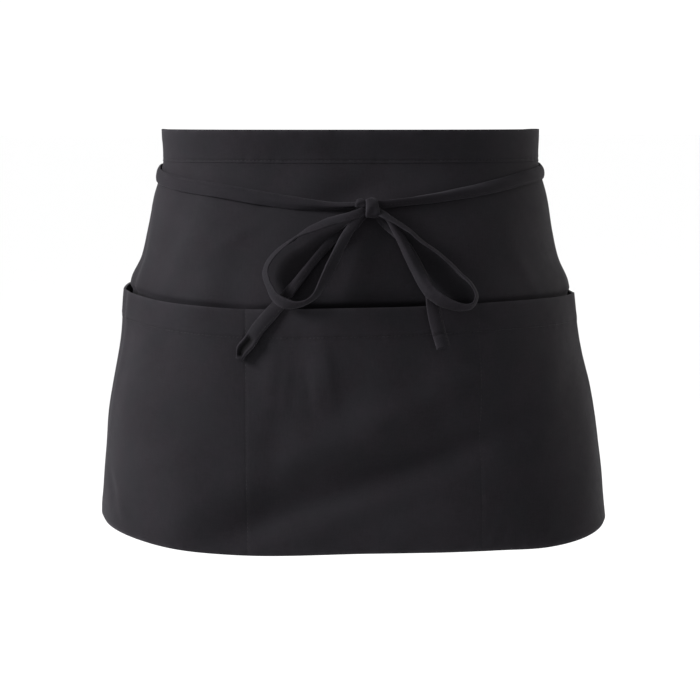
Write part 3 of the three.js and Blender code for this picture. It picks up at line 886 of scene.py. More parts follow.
@dataclass(kw_only=True)
class PocketPanel(Panel):
    """The panel that makes the three pockets, with a turned hem along its mouth."""

    seams: Seams
    roll: float = 0.0013
    hem_step: tuple[float, float] = (-0.0005, 0.0008)
    mouth_wear: EdgeWear = EdgeWear(0.6, 0.0014)
    edge_wear: EdgeWear = EdgeWear(0.7, 0.0022)
    seam_wear: EdgeWear = EdgeWear(0.05, 0.0015)

    def row_shares(self) -> np.ndarray:
        """Gives rows that are close at the mouth and at the hem line."""
        cut = self.form.cut
        places = crowded(self.top, cut.length, self.rows, (self.top, cut.hem_line))
        return (places - self.top) / (cut.length - self.top)

    def out(self, across: np.ndarray, down: np.ndarray, outer: bool) -> np.ndarray:
        """Gives the distance of the panel's faces from the inner face of the skirt.

        Args:
            across: Places from front centre.
            down: Places from the top edge.
            outer: Whether the outer face is meant, or else the inner one.

        Returns:
            The distance at each place.
        """
        cut = self.form.cut
        out = cut.skirt_cloth + cut.gap + self.form.gape(across, down)
        if outer:
            start, end = (cut.mouth + cut.pocket_hem + shift for shift in self.hem_step)
            thick = cut.hem_cloth + (cut.pocket_cloth - cut.hem_cloth) * ease(start, end, down)
            out = out + thick + self.seams.in_pocket(across, down)
        turn = np.clip(1 - cut.from_edge(across, down) / (self.roll * math.pi / 2), 0.0, 1.0)
        return out - self.roll * (1 - np.cos(turn * math.pi / 2))

    def lay(self, column: np.ndarray, row: np.ndarray, outer: bool) -> Laid:
        """Lays the pocket panel: see ClothShell.lay."""
        cut = self.form.cut
        across, down = self.flat_places(column, row)
        worn = self.mouth_wear.at(down - cut.mouth)
        worn = worn + self.edge_wear.at(cut.from_edge(across, down))
        worn = worn + self.seam_wear.at(np.abs(np.abs(across) - cut.seam))
        return self.laid(across, down, self.out(across, down, outer), worn)


class TieRow(NamedTuple):
    """A place on a tie.

    It gives the shares of the run and of the drop to the knot, the distance out in thicknesses of the
    strap, the turn in degrees, and the shares of the full width and thickness.
    """

    along: float
    down: float
    out: float
    turn: float
    wide: float
    thick: float = 1.0


class BowRow(NamedTuple):
    """A place on a strand of the bow.

    It gives the shares of the reach and of the drop, the distance out as a share of the bow's standoff,
    the turn in degrees, and the shares of the full width and thickness.
    """

    across: float
    down: float
    out: float
    turn: float
    wide: float
    thick: float = 1.0


TIE_START = (
    TieRow(0.00, 0.00, 0.75, 0, 1),
    TieRow(0.04, 0.03, 0.90, 0, 1),
    TieRow(0.10, 0.12, 1.00, 0, 1),
    TieRow(0.16, 0.22, 1.10, 0, 1),
    TieRow(0.24, 0.34, 1.30, 0, 1),
    TieRow(0.33, 0.42, 1.60, 0, 1),
    TieRow(0.45, 0.43, 1.70, 0, 1),
)
LEFT_TIE = TIE_START + (
    TieRow(0.60, 0.43, 1.70, 0, 1),
    TieRow(0.72, 0.54, 1.75, 0, 1),
    TieRow(0.80, 0.69, 1.85, 3, 0.97),
    TieRow(0.865, 0.795, 2.20, 8, 0.84),
    TieRow(0.92, 0.875, 3.00, 14, 0.66),
    TieRow(0.955, 0.92, 3.80, 20, 0.54),
    TieRow(0.98, 0.95, 4.40, 26, 0.46),
    TieRow(1.00, 0.97, 4.80, 30, 0.40),
)
RIGHT_TIE = TIE_START + (
    TieRow(0.57, 0.46, 1.70, 0, 1),
    TieRow(0.62, 0.53, 1.75, 0, 1),
    TieRow(0.70, 0.65, 1.75, 0, 1),
    TieRow(0.77, 0.745, 1.80, 2, 1),
    TieRow(0.83, 0.84, 1.90, 6, 1),
    TieRow(0.888, 0.93, 2.30, 10, 0.92),
    TieRow(0.92, 0.97, 2.90, 14, 0.76),
    TieRow(0.945, 0.99, 3.50, 18, 0.60),
    TieRow(0.97, 0.995, 4.20, 24, 0.48),
    TieRow(1.00, 0.99, 4.80, 30, 0.40),
)
LEFT_LOOP = (
    BowRow(0.00, 0.035, 0.92, 60, 0.45),
    BowRow(-0.07, 0.045, 0.95, 52, 0.5),
    BowRow(-0.15, 0.085, 1.02, 44, 0.75),
    BowRow(-0.27, 0.135, 1.04, 38, 0.95),
    BowRow(-0.40, 0.18, 1.02, 38, 1),
    BowRow(-0.60, 0.27, 1.02, 56, 1),
    BowRow(-0.72, 0.35, 1.04, 80, 1),
    BowRow(-0.87, 0.46, 1.06, 68, 1),
    BowRow(-0.96, 0.57, 1.08, 58, 1),
    BowRow(-1.00, 0.69, 1.12, 54, 1),
    BowRow(-0.97, 0.82, 1.26, 64, 1),
    BowRow(-0.90, 0.93, 1.42, 50, 1),
    BowRow(-0.81, 0.99, 1.48, 44, 1),
    BowRow(-0.72, 1.00, 1.36, 70, 1),
    BowRow(-0.63, 0.97, 1.22, 84, 1),
    BowRow(-0.55, 0.91, 1.14, 74, 1),
    BowRow(-0.485, 0.82, 1.10, 62, 1),
    BowRow(-0.42, 0.70, 1.08, 54, 1),
    BowRow(-0.35, 0.55, 1.06, 48, 0.95),
    BowRow(-0.27, 0.39, 1.04, 46, 0.9),
    BowRow(-0.19, 0.26, 0.98, 50, 0.76),
    BowRow(-0.12, 0.15, 0.90, 58, 0.58),
    BowRow(-0.065, 0.085, 0.82, 66, 0.45),
    BowRow(0.00, 0.065, 0.76, 70, 0.4),
)
RIGHT_LOOP = (
    BowRow(0.00, 0.045, 0.95, -64, 0.45),
    BowRow(0.06, 0.065, 0.98, -64, 0.5),
    BowRow(0.12, 0.115, 1.02, -68, 0.7),
    BowRow(0.22, 0.19, 1.04, -66, 0.9),
    BowRow(0.35, 0.29, 1.04, -64, 1),
    BowRow(0.46, 0.40, 1.05, -63, 1),
    BowRow(0.60, 0.51, 1.05, -64, 1),
    BowRow(0.72, 0.63, 1.04, -65, 1),
    BowRow(0.82, 0.755, 1.02, -66, 1),
    BowRow(0.92, 0.86, 1.02, -66, 1),
    BowRow(0.965, 0.97, 1.06, -62, 1),
    BowRow(0.92, 1.055, 1.12, -66, 1),
    BowRow(0.83, 1.07, 1.24, -70, 1),
    BowRow(0.71, 1.04, 1.40, -64, 1),
    BowRow(0.60, 0.985, 1.54, -50, 1),
    BowRow(0.52, 0.92, 1.54, -40, 0.95),
    BowRow(0.455, 0.82, 1.42, -34, 0.88),
    BowRow(0.39, 0.68, 1.28, -30, 0.80),
    BowRow(0.325, 0.53, 1.18, -30, 0.76),
    BowRow(0.26, 0.38, 1.10, -32, 0.70),
    BowRow(0.195, 0.26, 1.02, -38, 0.62),
    BowRow(0.145, 0.165, 0.90, -50, 0.56),
    BowRow(0.075, 0.10, 0.80, -60, 0.45),
    BowRow(0.00, 0.07, 0.72, -70, 0.4),
)
LEFT_TAIL = (
    BowRow(-0.02, 0.02, 0.42, 0, 0.55),
    BowRow(-0.08, 0.07, 0.38, 0, 0.6),
    BowRow(-0.19, 0.15, 0.40, 30, 0.85),
    BowRow(-0.31, 0.22, 0.52, 36, 0.76),
    BowRow(-0.39, 0.295, 0.62, 32, 0.64),
    BowRow(-0.465, 0.375, 0.68, 32, 0.62),
    BowRow(-0.54, 0.46, 0.68, 34, 0.72),
    BowRow(-0.61, 0.54, 0.66, 30, 0.92),
    BowRow(-0.68, 0.62, 0.64, 16, 1),
    BowRow(-0.76, 0.70, 0.72, 0, 1),
    BowRow(-0.86, 0.80, 0.72, 0, 1),
    BowRow(-0.93, 0.89, 0.66, 0, 1),
    BowRow(-0.97, 0.93, 0.62, 0, 1, 1.6),
    BowRow(-1.00, 1.00, 0.60, 0, 1, 1.6),
)
RIGHT_TAIL = (
    BowRow(0.02, 0.02, 0.42, 0, 0.55),
    BowRow(0.08, 0.08, 0.38, -10, 0.6),
    BowRow(0.18, 0.17, 0.40, -38, 0.85),
    BowRow(0.275, 0.27, 0.50, -54, 1),
    BowRow(0.345, 0.37, 0.56, -56, 1),
    BowRow(0.40, 0.49, 0.66, -46, 1),
    BowRow(0.43, 0.59, 0.84, -24, 1),
    BowRow(0.44, 0.67, 0.98, -4, 1),
    BowRow(0.455, 0.755, 0.98, 0, 1),
    BowRow(0.475, 0.825, 0.94, 0, 1),
    BowRow(0.48, 0.85, 0.93, 0, 1, 1.7),
    BowRow(0.51, 0.945, 0.92, 0, 1, 1.7),
)


STRAP_PLACES = (-1.0, -0.93, -0.78, -0.62, -0.35, 0.0, 0.35, 0.62, 0.78, 0.93, 1.0)
ROUTE_SAMPLES = 1500
ROUTE_STEP = 0.02


@dataclass(frozen=True)
class StrapSizes:
    """Sizes of the strap, the knot and the bow."""

    width: float = 0.010
    thickness: float = 0.0016
    edge_thickness: float = 0.45
    edge_power: int = 6
    stitch_inset: float = 0.0014
    groove: float = 0.16
    groove_width: float = 0.0006
    ridge: float = 0.0010
    ridge_point: float = 0.35
    ridge_wander: float = 0.12
    ridge_wander_length: float = 0.19
    ripple: float = 0.00022
    ripple_length: float = 0.031
    ripple_shift: float = 2.5
    cup: float = 0.35
    cup_power: float = 1.5
    tie_inset: float = 0.002
    knot_across: float = 0.007
    knot_down: float = 0.057
    knot_standoff: float = 0.008
    loop_reach: float = 0.074
    loop_drop: float = 0.071
    tail_reach: float = 0.094
    tail_drop: float = 0.109
    bow_standoff: float = 0.010
    crossing_along: float = 0.165
    crossing_width: float = 0.13
    crossing_lift: float = 1.6


class EndShape(NamedTuple):
    """What an end does to its strap: the rise of the face, its shares of height and width, its painted
    shade.
    """

    rise: float | np.ndarray = 0.0
    height: float | np.ndarray = 1.0
    width: float | np.ndarray = 1.0
    painted_shade: float | np.ndarray = 0.0


@dataclass(frozen=True)
class PlainEnd:
    """The end of a strap that runs into the knot."""

    # Scales only the pale edge wear at this end, not the painted shade.
    wear_and_shade: float = 1.0

    def shape(self, from_end: np.ndarray, across: np.ndarray, outer: bool) -> EndShape:
        """Gives the end's shape.

        Args:
            from_end: Distances from the end.
            across: Places over the width, from -1 to 1.
            outer: Whether the outer face is meant, or else the inner one.

        Returns:
            The shape at each place.
        """
        return EndShape()


@dataclass(frozen=True)
class OpenEnd(PlainEnd):
    """An end whose layers gape and meet again at the very end, with painted shade darkening the dished
    inside that shows.
    """

    wear_and_shade: float = 2.0
    length: float = 0.020
    full_share: float = 0.80
    closing_share: float = 0.45
    bulge: float = 0.0016
    back_bulge: float = 0.0012
    dish: float = 0.0030
    dish_sides: tuple[float, float] = (0.40, 0.74)
    dish_end: tuple[float, float] = (0.0012, 0.0035)
    narrowing: float = 0.06
    closed_narrowing: float = 0.44

    def shape(self, from_end: np.ndarray, across: np.ndarray, outer: bool) -> EndShape:
        """Gives the end's shape: see PlainEnd.shape."""
        spread = 1 - ease(self.length * self.full_share, self.length, from_end)
        dish = (1 - ease(*self.dish_sides, np.abs(across))) * ease(*self.dish_end, from_end)
        rise = self.bulge - self.dish * dish if outer else -self.back_bulge
        closing = 1 - ease(0.0, self.length * self.closing_share, from_end)
        width = 1 - spread * (self.narrowing + self.closed_narrowing * closing)
        # Painted shade in the dish of the open end, where the gaping inside shows.
        return EndShape(rise=spread * rise, width=width, painted_shade=spread * dish * outer)


@dataclass(frozen=True)
class FoldedEnd(PlainEnd):
    """An end that is folded over, with a crease where the fold stops and painted shade darkening the crease.
    """

    length: float = 0.0105
    crease_width: float = 0.0009
    depth: float = 0.80
    painted_shade: float = 0.5

    def shape(self, from_end: np.ndarray, across: np.ndarray, outer: bool) -> EndShape:
        """Gives the end's shape: see PlainEnd.shape."""
        crease = bump(from_end - self.length, self.crease_width)
        # Painted shade along the crease of the fold.
        return EndShape(height=1 - self.depth * crease, painted_shade=self.painted_shade * crease)


def smooth_route(points: np.ndarray, places: np.ndarray) -> np.ndarray:
    """Gives points on a smooth curve that passes through every given point.

    Args:
        points: The points that the curve passes through.
        places: Places on the curve, where whole numbers are the given points.

    Returns:
        The point at each place.
    """
    ends = np.concatenate([[2 * points[0] - points[1]], points, [2 * points[-1] - points[-2]]])
    pull = np.sqrt(np.linalg.norm(np.diff(ends, axis=0), axis=1))
    index = np.clip(places.astype(int), 0, len(points) - 2)
    t = (places - index)[:, None]
    before, start, end, after = (ends[index + step] for step in range(4))
    first, span, last = (pull[index + step][:, None] for step in range(3))
    leave = (start - before) / first - (end - before) / (first + span) + (end - start) / span
    arrive = (end - start) / span - (after - start) / (span + last) + (after - end) / last
    rise = t * t * (3 - 2 * t)
    pulls = span * (t * (1 - t) ** 2 * leave - t**2 * (1 - t) * arrive)
    return start + (end - start) * rise + pulls


@dataclass(kw_only=True)
class Strap(ClothShell):
    """A folded and stitched strap, laid along a smooth route over the worn form."""

    form: WornForm
    sizes: StrapSizes
    table: Sequence[NamedTuple]
    end: PlainEnd = PlainEnd()
    edge_wear: EdgeWear = EdgeWear(0.55, 0.0007)
    length: float = field(default=0.0, init=False)

    def route(self) -> np.ndarray:
        """Gives the route's points, one a row: across or round, down, and out."""
        raise NotImplementedError

    def to_cloth(self, points: np.ndarray) -> np.ndarray:
        """Gives the across, down and out of points on the route."""
        return points

    def middle(self, places: np.ndarray) -> np.ndarray:
        """Gives the worn middle of the strap at places on its route."""
        cloth = self.to_cloth(smooth_route(self.route(), places))
        return self.form.place(cloth[:, 0], cloth[:, 1], cloth[:, 2], fine=False)

    def even_places(self, count: int) -> np.ndarray:
        """Gives places on the route that lie evenly along the worn strap, and notes its length.

        Args:
            count: The number of steps between them.

        Returns:
            The places, one more than the steps.
        """
        fine = np.linspace(0.0, len(self.table) - 1.0, ROUTE_SAMPLES)
        steps = np.linalg.norm(np.diff(self.middle(fine), axis=0), axis=1)
        run = np.concatenate([[0.0], np.cumsum(steps)])
        self.length = float(run[-1])
        return np.interp(np.linspace(0.0, run[-1], count + 1), run, fine)

    def frames(self, places: np.ndarray) -> tuple[np.ndarray, ...]:
        """Gives the strap's middle and its directions at places on the route.

        Args:
            places: Places on the route.

        Returns:
            The middle, the face's and the sideways directions, and the shares of the full width and
            thickness.
        """
        last = len(self.table) - 1.0
        middle = self.middle(places)
        ahead = self.middle(np.minimum(places + ROUTE_STEP, last))
        tangent = unit(ahead - self.middle(np.maximum(places - ROUTE_STEP, 0.0)))
        cloth = self.to_cloth(smooth_route(self.route(), places))
        _, _, outward = self.form.frame_at(cloth[:, 0], cloth[:, 1])
        outward = unit(outward - tangent * (outward * tangent).sum(-1, keepdims=True))
        rows = np.arange(len(self.table))
        turn, wide, thick = (
            np.interp(places, rows, [getattr(row, name) for row in self.table])
            for name in ("turn", "wide", "thick")
        )
        angle = np.radians(turn)[:, None]
        face = outward * np.cos(angle) - np.cross(outward, tangent) * np.sin(angle)
        return middle, face, np.cross(face, tangent), wide, thick

    def lay(self, column: np.ndarray, row: np.ndarray, outer: bool) -> Laid:
        """Lays the strap: see ClothShell.lay."""
        sizes = self.sizes
        frames = self.frames(self.even_places(self.columns))
        middle, face, sideways, wide, thick = (item[column.astype(int)] for item in frames)
        across = np.array(STRAP_PLACES)[row.astype(int)]
        run = column * self.length / self.columns
        end = self.end.shape(self.length - run, across, outer)
        edge = (1 - np.abs(across)) * sizes.width / 2
        crown = np.sqrt(np.clip(1 - np.abs(across) ** sizes.edge_power, 0.0, 1.0))
        full = sizes.edge_thickness + (1 - sizes.edge_thickness) * crown
        full = full - sizes.groove * bump(edge - sizes.stitch_inset, sizes.groove_width)
        height = (0.5 if outer else -0.5) * sizes.thickness * thick * full
        height = height * end.height + end.rise + self.bend(run, across, wide)
        place = middle + sideways * (across * wide * end.width * sizes.width / 2)[:, None]
        flat = np.stack([run, across * sizes.width / 2], axis=-1)
        # Pale edge wear, less the painted shade of the strap's end.
        worn = self.edge_wear.at(edge) * self.end.wear_and_shade - end.painted_shade
        return Laid(place + face * height[:, None], flat, worn)

    def bend(self, run: np.ndarray, across: np.ndarray, wide: np.ndarray) -> np.ndarray:
        """Gives how far the strap bends off its flat: its lengthwise crease, its cup and slight waves.

        Args:
            run: Lengths along the strap.
            across: Places over the width, from -1 to 1.
            wide: The share of the full width, which is less where the strap is gathered.

        Returns:
            The distance at each place.
        """
        sizes = self.sizes
        gathered = np.sqrt(np.clip(1 - wide**2, 0.0, 1.0))
        cup = sizes.cup * sizes.width * gathered * np.abs(across) ** sizes.cup_power
        off = np.abs(across + sizes.ridge_wander * wave(run, sizes.ridge_wander_length))
        ridge = sizes.ridge * (sizes.ridge_point * (1 - off) + (1 - sizes.ridge_point) * (1 - off**2))
        ripple = sizes.ripple * wave(run, sizes.ripple_length, sizes.ripple_shift * across)
        return ridge + ripple * np.abs(across) - cup


@dataclass(kw_only=True)
class Tie(Strap):
    """A tie from its end of the waistband, round the back and the opposite side, to the knot."""

    side: Side
    over: bool = False

    def route(self) -> np.ndarray:
        """Gives the route's points, with the place round the body measured at the run's middle level."""
        cut, sizes, side = self.form.cut, self.sizes, self.side.value
        level = self.form.girth(sizes.knot_down / 2)
        start = (cut.half - sizes.tie_inset) / self.form.girth(cut.band / 2)
        end = 2 + side * sizes.knot_across / self.form.girth(sizes.knot_down)
        points = []
        for row in self.table:
            off = (row.along - sizes.crossing_along) / sizes.crossing_width
            lift = sizes.crossing_lift * math.exp(-(off**4)) if self.over else 0.0
            points.append((
                side * (start + (end - start) * row.along) * level,
                cut.band / 2 + (sizes.knot_down - cut.band / 2) * row.down,
                (row.out + lift) * sizes.thickness,
            ))
        return np.array(points)

    def to_cloth(self, points: np.ndarray) -> np.ndarray:
        """Turns places round the body into lengths of cloth at their own level."""
        around = points[:, 0] / self.form.girth(self.sizes.knot_down / 2)
        wrapped = np.where(np.abs(around) > 1, around - 2 * self.side.value, around)
        return np.stack([wrapped * self.form.girth(points[:, 1]), points[:, 1], points[:, 2]], axis=-1)


@dataclass(kw_only=True)
class BowStrand(Strap):
    """One strand of the bow, from the knot outwards."""

    reach: float
    drop: float

    def route(self) -> np.ndarray:
        """Gives the route's points: across, down and out."""
        sizes = self.sizes
        return np.array([
            (
                sizes.knot_across + row.across * self.reach,
                sizes.knot_down + row.down * self.drop,
                row.out * sizes.bow_standoff,
            )
            for row in self.table
        ])


@dataclass(kw_only=True)
class KnotRing(ClothShell):
    """A turn of strap round the bundle of strands, which makes the knot."""

    form: WornForm
    sizes: StrapSizes
    shift: tuple[float, float, float]
    half_height: float = 0.0070
    half_depth: float = 0.0056
    half_width: float = 0.0046
    taper: float = -0.10
    lean: float = 3.0
    squareness: float = 2.8
    thickness: float = 0.0014
    edge_curl: float = 0.0009
    edge_wear: float = 0.8
    long_crease: float = 0.00025
    short_crease: float = 0.0002

    def lay(self, column: np.ndarray, row: np.ndarray, outer: bool) -> Laid:
        """Lays the ring: see ClothShell.lay."""
        sizes = self.sizes
        spot = [np.array([value]) for value in (sizes.knot_across, sizes.knot_down)]
        sideways, upward, outward = (item[0] for item in self.form.frame_at(*spot))
        right, up, out = self.shift
        centre = self.form.even(*spot)[0] + outward * (sizes.knot_standoff + out)
        centre = centre + sideways * right + upward * up
        angle = 2 * math.pi * (column % self.columns) / self.columns
        across = 2 * row / self.rows - 1
        power = self.squareness
        reach = (np.abs(np.cos(angle)) ** power + np.abs(np.sin(angle)) ** power) ** (-1 / power)
        rise, depth = reach * np.cos(angle), reach * np.sin(angle)
        crease = self.long_crease * np.sin(5 * angle + 2.2 * across)
        crease = crease + self.short_crease * np.sin(3 * across + 2 * angle)
        inset = (0.0 if outer else self.thickness) + self.edge_curl * np.abs(across) ** 4 - crease
        wide = self.half_width * across * (1 + self.taper * rise)
        high = rise * (self.half_height - inset)
        lean = math.radians(self.lean)
        place = (
            centre
            + sideways * (wide * math.cos(lean) - high * math.sin(lean))[:, None]
            + upward * (wide * math.sin(lean) + high * math.cos(lean))[:, None]
            + outward * (depth * (self.half_depth - inset))[:, None]
        )
        flat = np.stack([angle * self.half_height, across * self.half_width], axis=-1)
        return Laid(place, flat, self.edge_wear * np.abs(across) ** 8)


@dataclass
class StitchLine:
    """A line of stitches in thread, each a short rounded stitch that dips into the cloth."""

    name: str
    slot: Slot
    pitch: float = 0.0029
    length: float = 0.0021
    width: float = 0.00042
    height: float = 0.00036
    runs: list = field(default_factory=list)

    def add(self, places: np.ndarray, outward: np.ndarray) -> None:
        """Adds a run of stitches.

        Args:
            places: Points close together along the run, on the cloth.
            outward: The cloth's outward direction at each point.
        """
        self.runs.append((places, outward))

    def build(self) -> bpy.types.Object:
        """Builds all the runs as one piece.

        Returns:
            The object, which rides on the body.
        """
        form = bmesh.new()
        stitch = bmesh.ops.create_uvsphere(form, u_segments=6, v_segments=4, radius=0.5)
        bmesh.ops.rotate(form, verts=stitch["verts"], matrix=Matrix.Rotation(math.pi / 2, 3, "Y"))
        size = Matrix.Diagonal((self.length, self.width, self.height, 1.0))
        bmesh.ops.transform(form, matrix=size, verts=stitch["verts"])
        pattern = form.verts[:] + form.edges[:] + form.faces[:]
        for places, outward in self.runs:
            steps = np.linalg.norm(np.diff(places, axis=0), axis=1)
            run = np.concatenate([[0.0], np.cumsum(steps)])
            spots = np.arange(self.pitch / 2, run[-1], self.pitch)
            reads = [np.stack([np.interp(spots + shift, run, places[:, axis]) for axis in range(3)], axis=-1)
                     for shift in (-self.length / 2, 0.0, self.length / 2)]
            normals = np.stack([np.interp(spots, run, outward[:, axis]) for axis in range(3)], axis=-1)
            for start, middle, end, normal in zip(*reads, normals):
                copy = bmesh.ops.duplicate(form, geom=pattern)["geom"]
                verts = [item for item in copy if isinstance(item, bmesh.types.BMVert)]
                ahead = Vector(end - start).normalized()
                side = Vector(normal).cross(ahead).normalized()
                turned = Matrix((ahead, side, ahead.cross(side))).transposed().to_4x4()
                bmesh.ops.transform(form, matrix=Matrix.Translation(Vector(middle)) @ turned, verts=verts)
        bmesh.ops.delete(form, geom=pattern, context="VERTS")
        piece = to_object(self.name, form)
        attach(piece, BODY)
        return piece


@dataclass(frozen=True)
class TwillFinish:
    """Black twill: its tones, its painted shade colour, the pitch of its ribs and how they lie."""

    name: str
    dark: tuple
    light: tuple
    cool: tuple
    worn: tuple
    # Painted shade: the colour that negative values of the wear attribute darken the cloth towards.
    painted_shade: tuple = (0.0012, 0.0011, 0.0013, 1.0)
    rib_pitch: float = 0.00062
    rib_angle: float = 58.0
    thread_pitch: float = 0.00034
    warp_scale: tuple = (1000.0, 110.0, 1.0)
    weft_scale: tuple = (130.0, 1000.0, 1.0)
    weave_height: float = 0.00011
    weave_strength: float = 0.8
    smoothest: float = 0.67
    roughness_spread: float = 0.22
    specular: float = 0.05
    sheen: float = 0.035
    sheen_roughness: float = 0.42
    sheen_tint: tuple = (0.80, 0.78, 0.86, 1.0)

    def make(self) -> bpy.types.Material:
        """Makes the material.

        Returns:
            The material, which reads the piece's own attributes for the weave, the wear and the painted
            shade.
        """
        sheet = NodeSheet(self.name)
        cloth = sheet.add("ShaderNodeAttribute", attribute_name="cloth").outputs["Vector"]
        worn = sheet.add("ShaderNodeAttribute", attribute_name="wear_and_shade").outputs["Fac"]
        spot = sheet.add("ShaderNodeTexCoord").outputs["Object"]
        ribs = sheet.wave(sheet.mapped(cloth, turn=self.rib_angle), self.rib_pitch)
        threads = sheet.wave(cloth, self.thread_pitch)
        warp = sheet.noise(sheet.mapped(cloth, self.warp_scale), 1.0, detail=2.0)
        weft = sheet.noise(sheet.mapped(cloth, self.weft_scale), 1.0, detail=2.0)
        slub = sheet.noise(cloth, 760.0, detail=3.0)
        mottle = sheet.noise(spot, 26.0, detail=4.0)
        patches = sheet.noise(spot, 140.0, detail=5.0)
        hue = sheet.noise(spot, 48.0, detail=2.0)

        tone = sheet.total((weft, 0.30), (mottle, 0.55), (patches, 0.25), (warp, 0.30), (slub, 0.35),
                           (ribs, 0.16))
        colour = sheet.mix(sheet.clamp(tone, 0.62, 1.22), self.dark, self.light)
        cooled = sheet.math("MULTIPLY", sheet.clamp(hue, 0.40, 0.62), 0.35)
        colour = sheet.mix(cooled, colour, self.cool)
        paleness = sheet.math("MULTIPLY", worn, sheet.clamp(patches, 0.30, 0.75))
        colour = sheet.mix(sheet.clamp(paleness, 0.0, 1.15), colour, self.worn)
        # Painted shade: where the attribute is negative, the colour is darkened towards the painted shade
        # colour.
        painted_shade_share = sheet.math("MULTIPLY", worn, -1.0)
        colour = sheet.mix(sheet.clamp(painted_shade_share, 0.0, 1.15), colour, self.painted_shade)

        weave = sheet.total((threads, 0.22), (ribs, 0.62), (slub, 0.90), (warp, 0.45), (weft, 0.35))
        return sheet.dress({
            "Base Color": colour,
            "Normal": sheet.raised(weave, self.weave_height, self.weave_strength),
            "Roughness": sheet.math("MULTIPLY_ADD", patches, self.roughness_spread, self.smoothest),
            "Specular IOR Level": self.specular,
            "Sheen Weight": self.sheen,
            "Sheen Roughness": self.sheen_roughness,
            "Sheen Tint": self.sheen_tint,
        })


@dataclass(frozen=True)
class ThreadFinish:
    """Black sewing thread, slightly glossier and lighter than the cloth."""

    name: str
    dark: tuple
    light: tuple
    ply_height: float = 0.00005
    smoothest: float = 0.42
    roughness_spread: float = 0.25
    specular: float = 0.12

    def make(self) -> bpy.types.Material:
        """Makes the material.

        Returns:
            The material.
        """
        sheet = NodeSheet(self.name)
        spot = sheet.add("ShaderNodeTexCoord").outputs["Object"]
        ply = sheet.noise(spot, 2600.0, detail=2.0)
        tone = sheet.noise(spot, 90.0, detail=2.0)
        return sheet.dress({
            "Base Color": sheet.mix(sheet.clamp(tone, 0.40, 0.64), self.dark, self.light),
            "Normal": sheet.raised(ply, self.ply_height, 1.0),
            "Roughness": sheet.math("MULTIPLY_ADD", ply, self.roughness_spread, self.smoothest),
            "Specular IOR Level": self.specular,
        })


